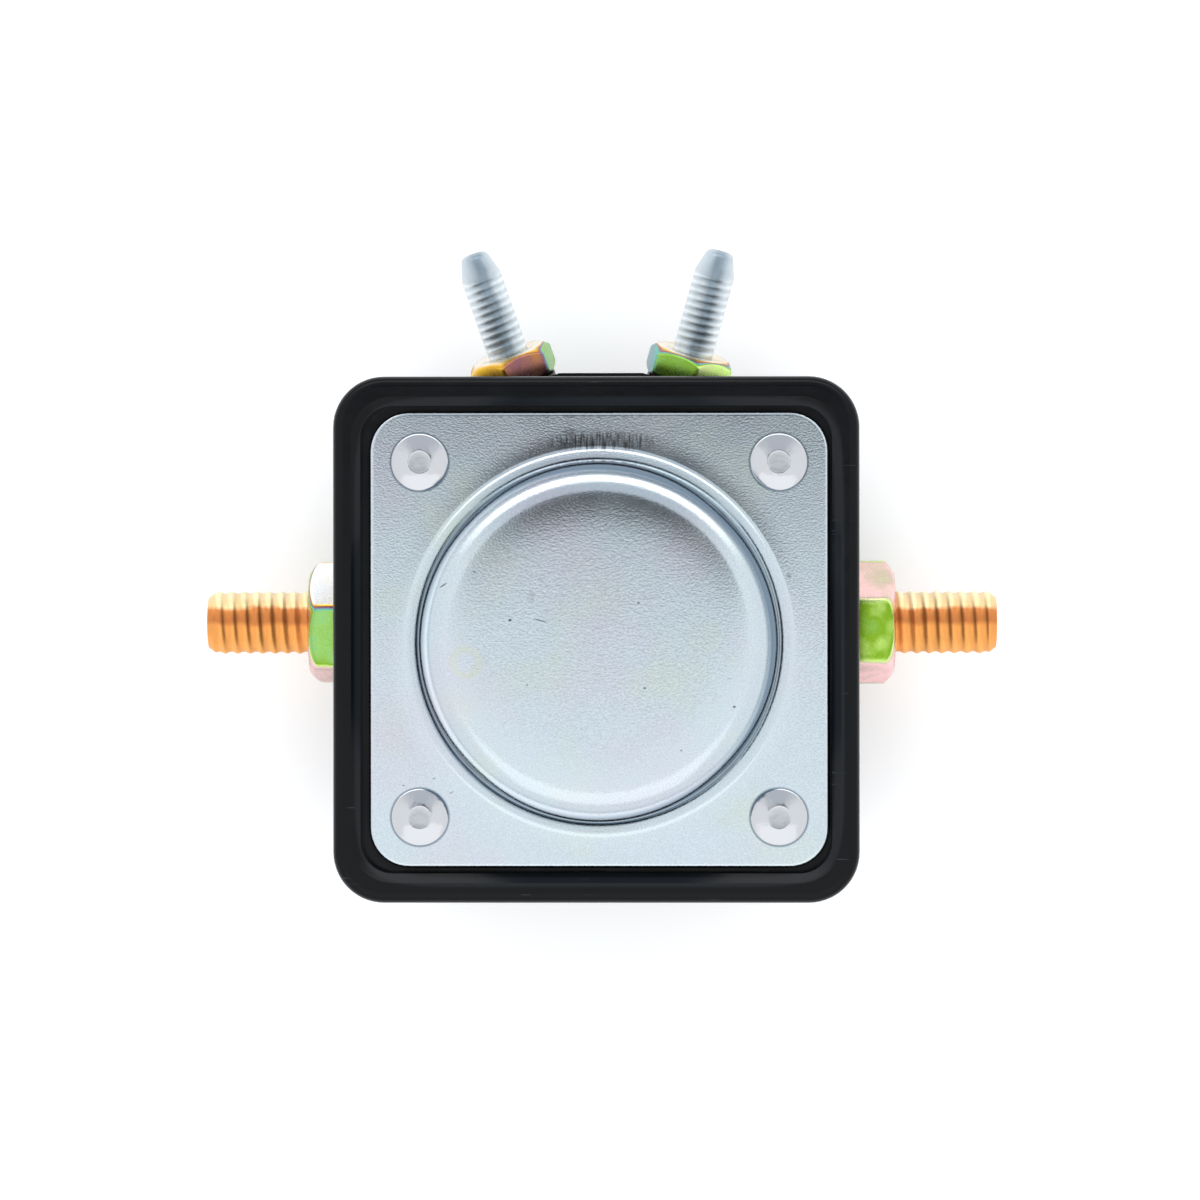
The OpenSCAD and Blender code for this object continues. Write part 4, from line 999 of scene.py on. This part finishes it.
def coil_spring(bm, mean_r, wire, low, high, open_turns, steps=40):
    """A spring with one closed, ground turn at each end, between two heights."""
    circle = bmesh.ops.create_circle(bm, segments=12, radius=wire / 2)["verts"]
    bmesh.ops.rotate(bm, cent=(0, 0, 0), matrix=Euler((math.radians(90), 0, 0)).to_matrix(), verts=circle)
    bmesh.ops.translate(bm, vec=(mean_r, 0, low + wire / 4), verts=circle)
    geom = circle + list({e for v in circle for e in v.link_edges})
    closed = wire * CLOSED_SHARE
    rise = (high - low - wire / 2 - 2 * closed) / open_turns
    for turns, climb in ((1, closed), (open_turns, rise), (1, closed)):
        geom = bmesh.ops.spin(bm, geom=geom, cent=(0, 0, 0), axis=(0, 0, 1), dvec=(0, 0, climb / steps),
                              angle=math.tau * turns, steps=steps * turns)["geom_last"]
    bmesh.ops.holes_fill(bm, edges=[e for e in bm.edges if e.is_boundary], sides=0)
    for v in bm.verts:
        v.co.z = min(max(v.co.z, low), high)


class RELAY_OT_springs(bpy.types.Operator):
    """Winds the two springs between the heights of their CAD parts"""
    bl_idname = "relay.springs"
    bl_label = "Springs"

    def execute(self, context):
        s = context.scene.relay_spring
        steel = worked("patented_spring_wire", "#8d949b", "#6f767d", 0.3, 1.0, 0.3, 0.006, (1.0, 1.0, 0.3))
        for name, body, joint, mean_r, turns, foot in (
                ("return_spring", "frame", "plunger_slide", s.return_r, s.return_turns, 0),
                ("contact_spring", "plunger_group", "disc_overtravel", s.contact_r, s.contact_turns, 1)):
            low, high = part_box(name)
            bm = bmesh.new()
            coil_spring(bm, mean_r, s.wire, low.z, high.z, turns)
            piece = finish_piece(bm, f"wound_{name}", body, steel, [name], 60)
            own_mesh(piece)
        return {"FINISHED"}


# Light of the tent by height, from the horizon to overhead, as shares of its brightest band
TENT_PEAK = 3.0
NEAR_TENT = [(0.0, "#8a8d90"), (1.0, "#a9abad"), (0.2, "#a4a6a8"), (0.5, "#a4a5a6"), (0.97, "#a8a9aa")]
FAR_TENT = [(0.0, "#7c8084"), (1.0, "#a3a5a7"), (0.27, "#82868a"), (0.33, "#efefef"), (0.6, "#efefef"),
            (0.68, "#888c90"), (0.96, "#888b90")]
# Over which range of Y, of a level direction, the tent's near side goes over into its far side
FAR_SPAN = (0.5, 0.92)
# Dark lens hood overhead: middle of it as a direction, width over height, radii of its core and edge, light
HOOD_AT = (0.015, 0.15)
HOOD_WIDE = 1.9
HOOD_SPAN = (0.07, 0.14)
HOOD_LIGHT = 0.07
# Radius of the floor, and how far it lies below the object, so that no two faces share a plane
FLOOR_R, FLOOR_DROP = 3.0, 0.02 * MM
# Softbox: size, place and aim in metres
SOFTBOX_SIZE = (0.7, 0.5)
SOFTBOX_AT, SOFTBOX_AIM = Vector((0.0, -0.4, 0.6)), Vector((0, 0, 0.03))
# Camera: place in millimetres and turn in degrees
CAMERA_AT = (6.8, 4.01, 527.9)
CAMERA_TURN = (0.0074, 0.7753, -0.0408)


class RELAY_OT_stage(bpy.types.Operator):
    """Builds the floor, the light tent, the softbox and the camera"""
    bl_idname = "relay.stage"
    bl_label = "Stage"

    def execute(self, context):
        s = context.scene.relay_stage
        bm = bmesh.new()
        bmesh.ops.create_circle(bm, segments=96, radius=FLOOR_R, cap_ends=True)
        bmesh.ops.translate(bm, vec=(0, 0, -FLOOR_DROP), verts=bm.verts)
        mesh = bpy.data.meshes.new("floor")
        bm.to_mesh(mesh)
        bm.free()
        mesh.materials.append(self.paper(s))
        floor = bpy.data.objects.new("floor", mesh)
        context.scene.collection.objects.link(floor)
        self.light_tent(context, s)
        self.softbox(context, s)
        self.camera(context, s)
        return {"FINISHED"}

    def paper(self, s):
        """Matt white background paper, which looks as bright in metal as it does to the camera."""
        made, tree, _ = new_material("matt_paper_floor")
        seen = [add(tree, "LightPath", out=f"Is {kind} Ray") for kind in ("Camera", "Glossy", "Transmission")]
        lift = add(tree, "Math", [strongest(tree, seen), s.floor_lift], operation="MULTIPLY")
        return surface(made, linear(s.floor), 0.9, Specular_IOR_Level=0.1, Emission_Color=linear(s.sky),
                       Emission_Strength=lift)

    def light_tent(self, context, s):
        """A white tent: even on the lower side, and dark with a bright band on the far side."""
        world = bpy.data.worlds.new("light_tent")
        world.use_nodes = True
        context.scene.world = world
        tree = world.node_tree
        tree.nodes.clear()
        direction = add(tree, "TexCoord", out="Generated")
        height = add(tree, "SeparateXYZ", [direction], out="Z")
        near, far = (add(tree, "ValToRGB", [height], stops=stops) for stops in (NEAR_TENT, FAR_TENT))
        level = add(tree, "VectorMath", [direction, (1.0, 1.0, 0.0)], operation="MULTIPLY")
        level = add(tree, "VectorMath", [level], operation="NORMALIZE")
        side = add(tree, "MapRange", [add(tree, "SeparateXYZ", [level], out="Y"), *FAR_SPAN])
        colour = add(tree, "Mix", [side, near, far])
        hood = add(tree, "Mapping", {"Vector": direction, "Scale": (1 / HOOD_WIDE, 1.0, 0.0),
                                     "Location": (-HOOD_AT[0] / HOOD_WIDE, -HOOD_AT[1], 0.0)})
        hood = add(tree, "VectorMath", [hood], operation="LENGTH")
        hood = add(tree, "MapRange", [hood, *HOOD_SPAN, HOOD_LIGHT, 1.0])
        colour = add(tree, "Mix", [1.0, colour, hood], blend_type="MULTIPLY")
        add(tree, "OutputWorld", [add(tree, "Background", [colour, s.strength * TENT_PEAK])])

    def softbox(self, context, s):
        """One large soft lamp over the lower edge of the cover."""
        lamp = bpy.data.lights.new("softbox", "AREA")
        lamp.shape = "RECTANGLE"
        lamp.size, lamp.size_y = SOFTBOX_SIZE
        lamp.energy = s.key_power
        holder = bpy.data.objects.new("softbox", lamp)
        context.scene.collection.objects.link(holder)
        holder.location = SOFTBOX_AT
        holder.rotation_euler = (SOFTBOX_AIM - SOFTBOX_AT).to_track_quat("-Z", "Y").to_euler()

    def camera(self, context, s):
        """A long lens straight over the cover, a little to the right."""
        lens = bpy.data.cameras.new("camera")
        lens.lens, lens.sensor_width = s.lens, 36.0
        holder = bpy.data.objects.new("camera", lens)
        context.scene.collection.objects.link(holder)
        holder.location = [k * MM for k in CAMERA_AT]
        holder.rotation_euler = [math.radians(k) for k in CAMERA_TURN]
        context.scene.camera = holder
        context.scene.view_settings.view_transform = "Standard"


STEPS = ["housing", "cover", "rivets", "line_studs", "line_nuts", "coil_studs", "coil_nuts",
         "inner_parts", "springs", "stage"]


class RELAY_PT_panel(bpy.types.Panel):
    """The relay's steps"""
    bl_idname = "RELAY_PT_panel"
    bl_label = "Starter relay"
    bl_space_type = "VIEW_3D"
    bl_region_type = "UI"
    bl_category = "Relay"

    def draw(self, context):
        for step in STEPS:
            self.layout.operator(f"relay.{step}")


GROUPS = {"relay_moulding": RELAY_PG_moulding, "relay_sheet": RELAY_PG_sheet, "relay_rivet": RELAY_PG_rivet,
          "relay_line": RELAY_PG_line, "relay_coil": RELAY_PG_coil, "relay_plating": RELAY_PG_plating,
          "relay_spring": RELAY_PG_spring, "relay_stage": RELAY_PG_stage}
CLASSES = [*GROUPS.values(), RELAY_OT_housing, RELAY_OT_cover, RELAY_OT_rivets, RELAY_OT_line_studs,
           RELAY_OT_line_nuts, RELAY_OT_coil_studs, RELAY_OT_coil_nuts, RELAY_OT_inner_parts,
           RELAY_OT_springs, RELAY_OT_stage, RELAY_PT_panel]


def register():
    for kind in CLASSES:
        bpy.utils.register_class(kind)
    for name, group in GROUPS.items():
        setattr(bpy.types.Scene, name, PointerProperty(type=group))


def unregister():
    for name in GROUPS:
        delattr(bpy.types.Scene, name)
    for kind in reversed(CLASSES):
        bpy.utils.unregister_class(kind)


def main():
    register()
    for step in STEPS:
        getattr(bpy.ops.relay, step)()
    bpy.context.view_layer.update()


if __name__ == "__main__":
    main()
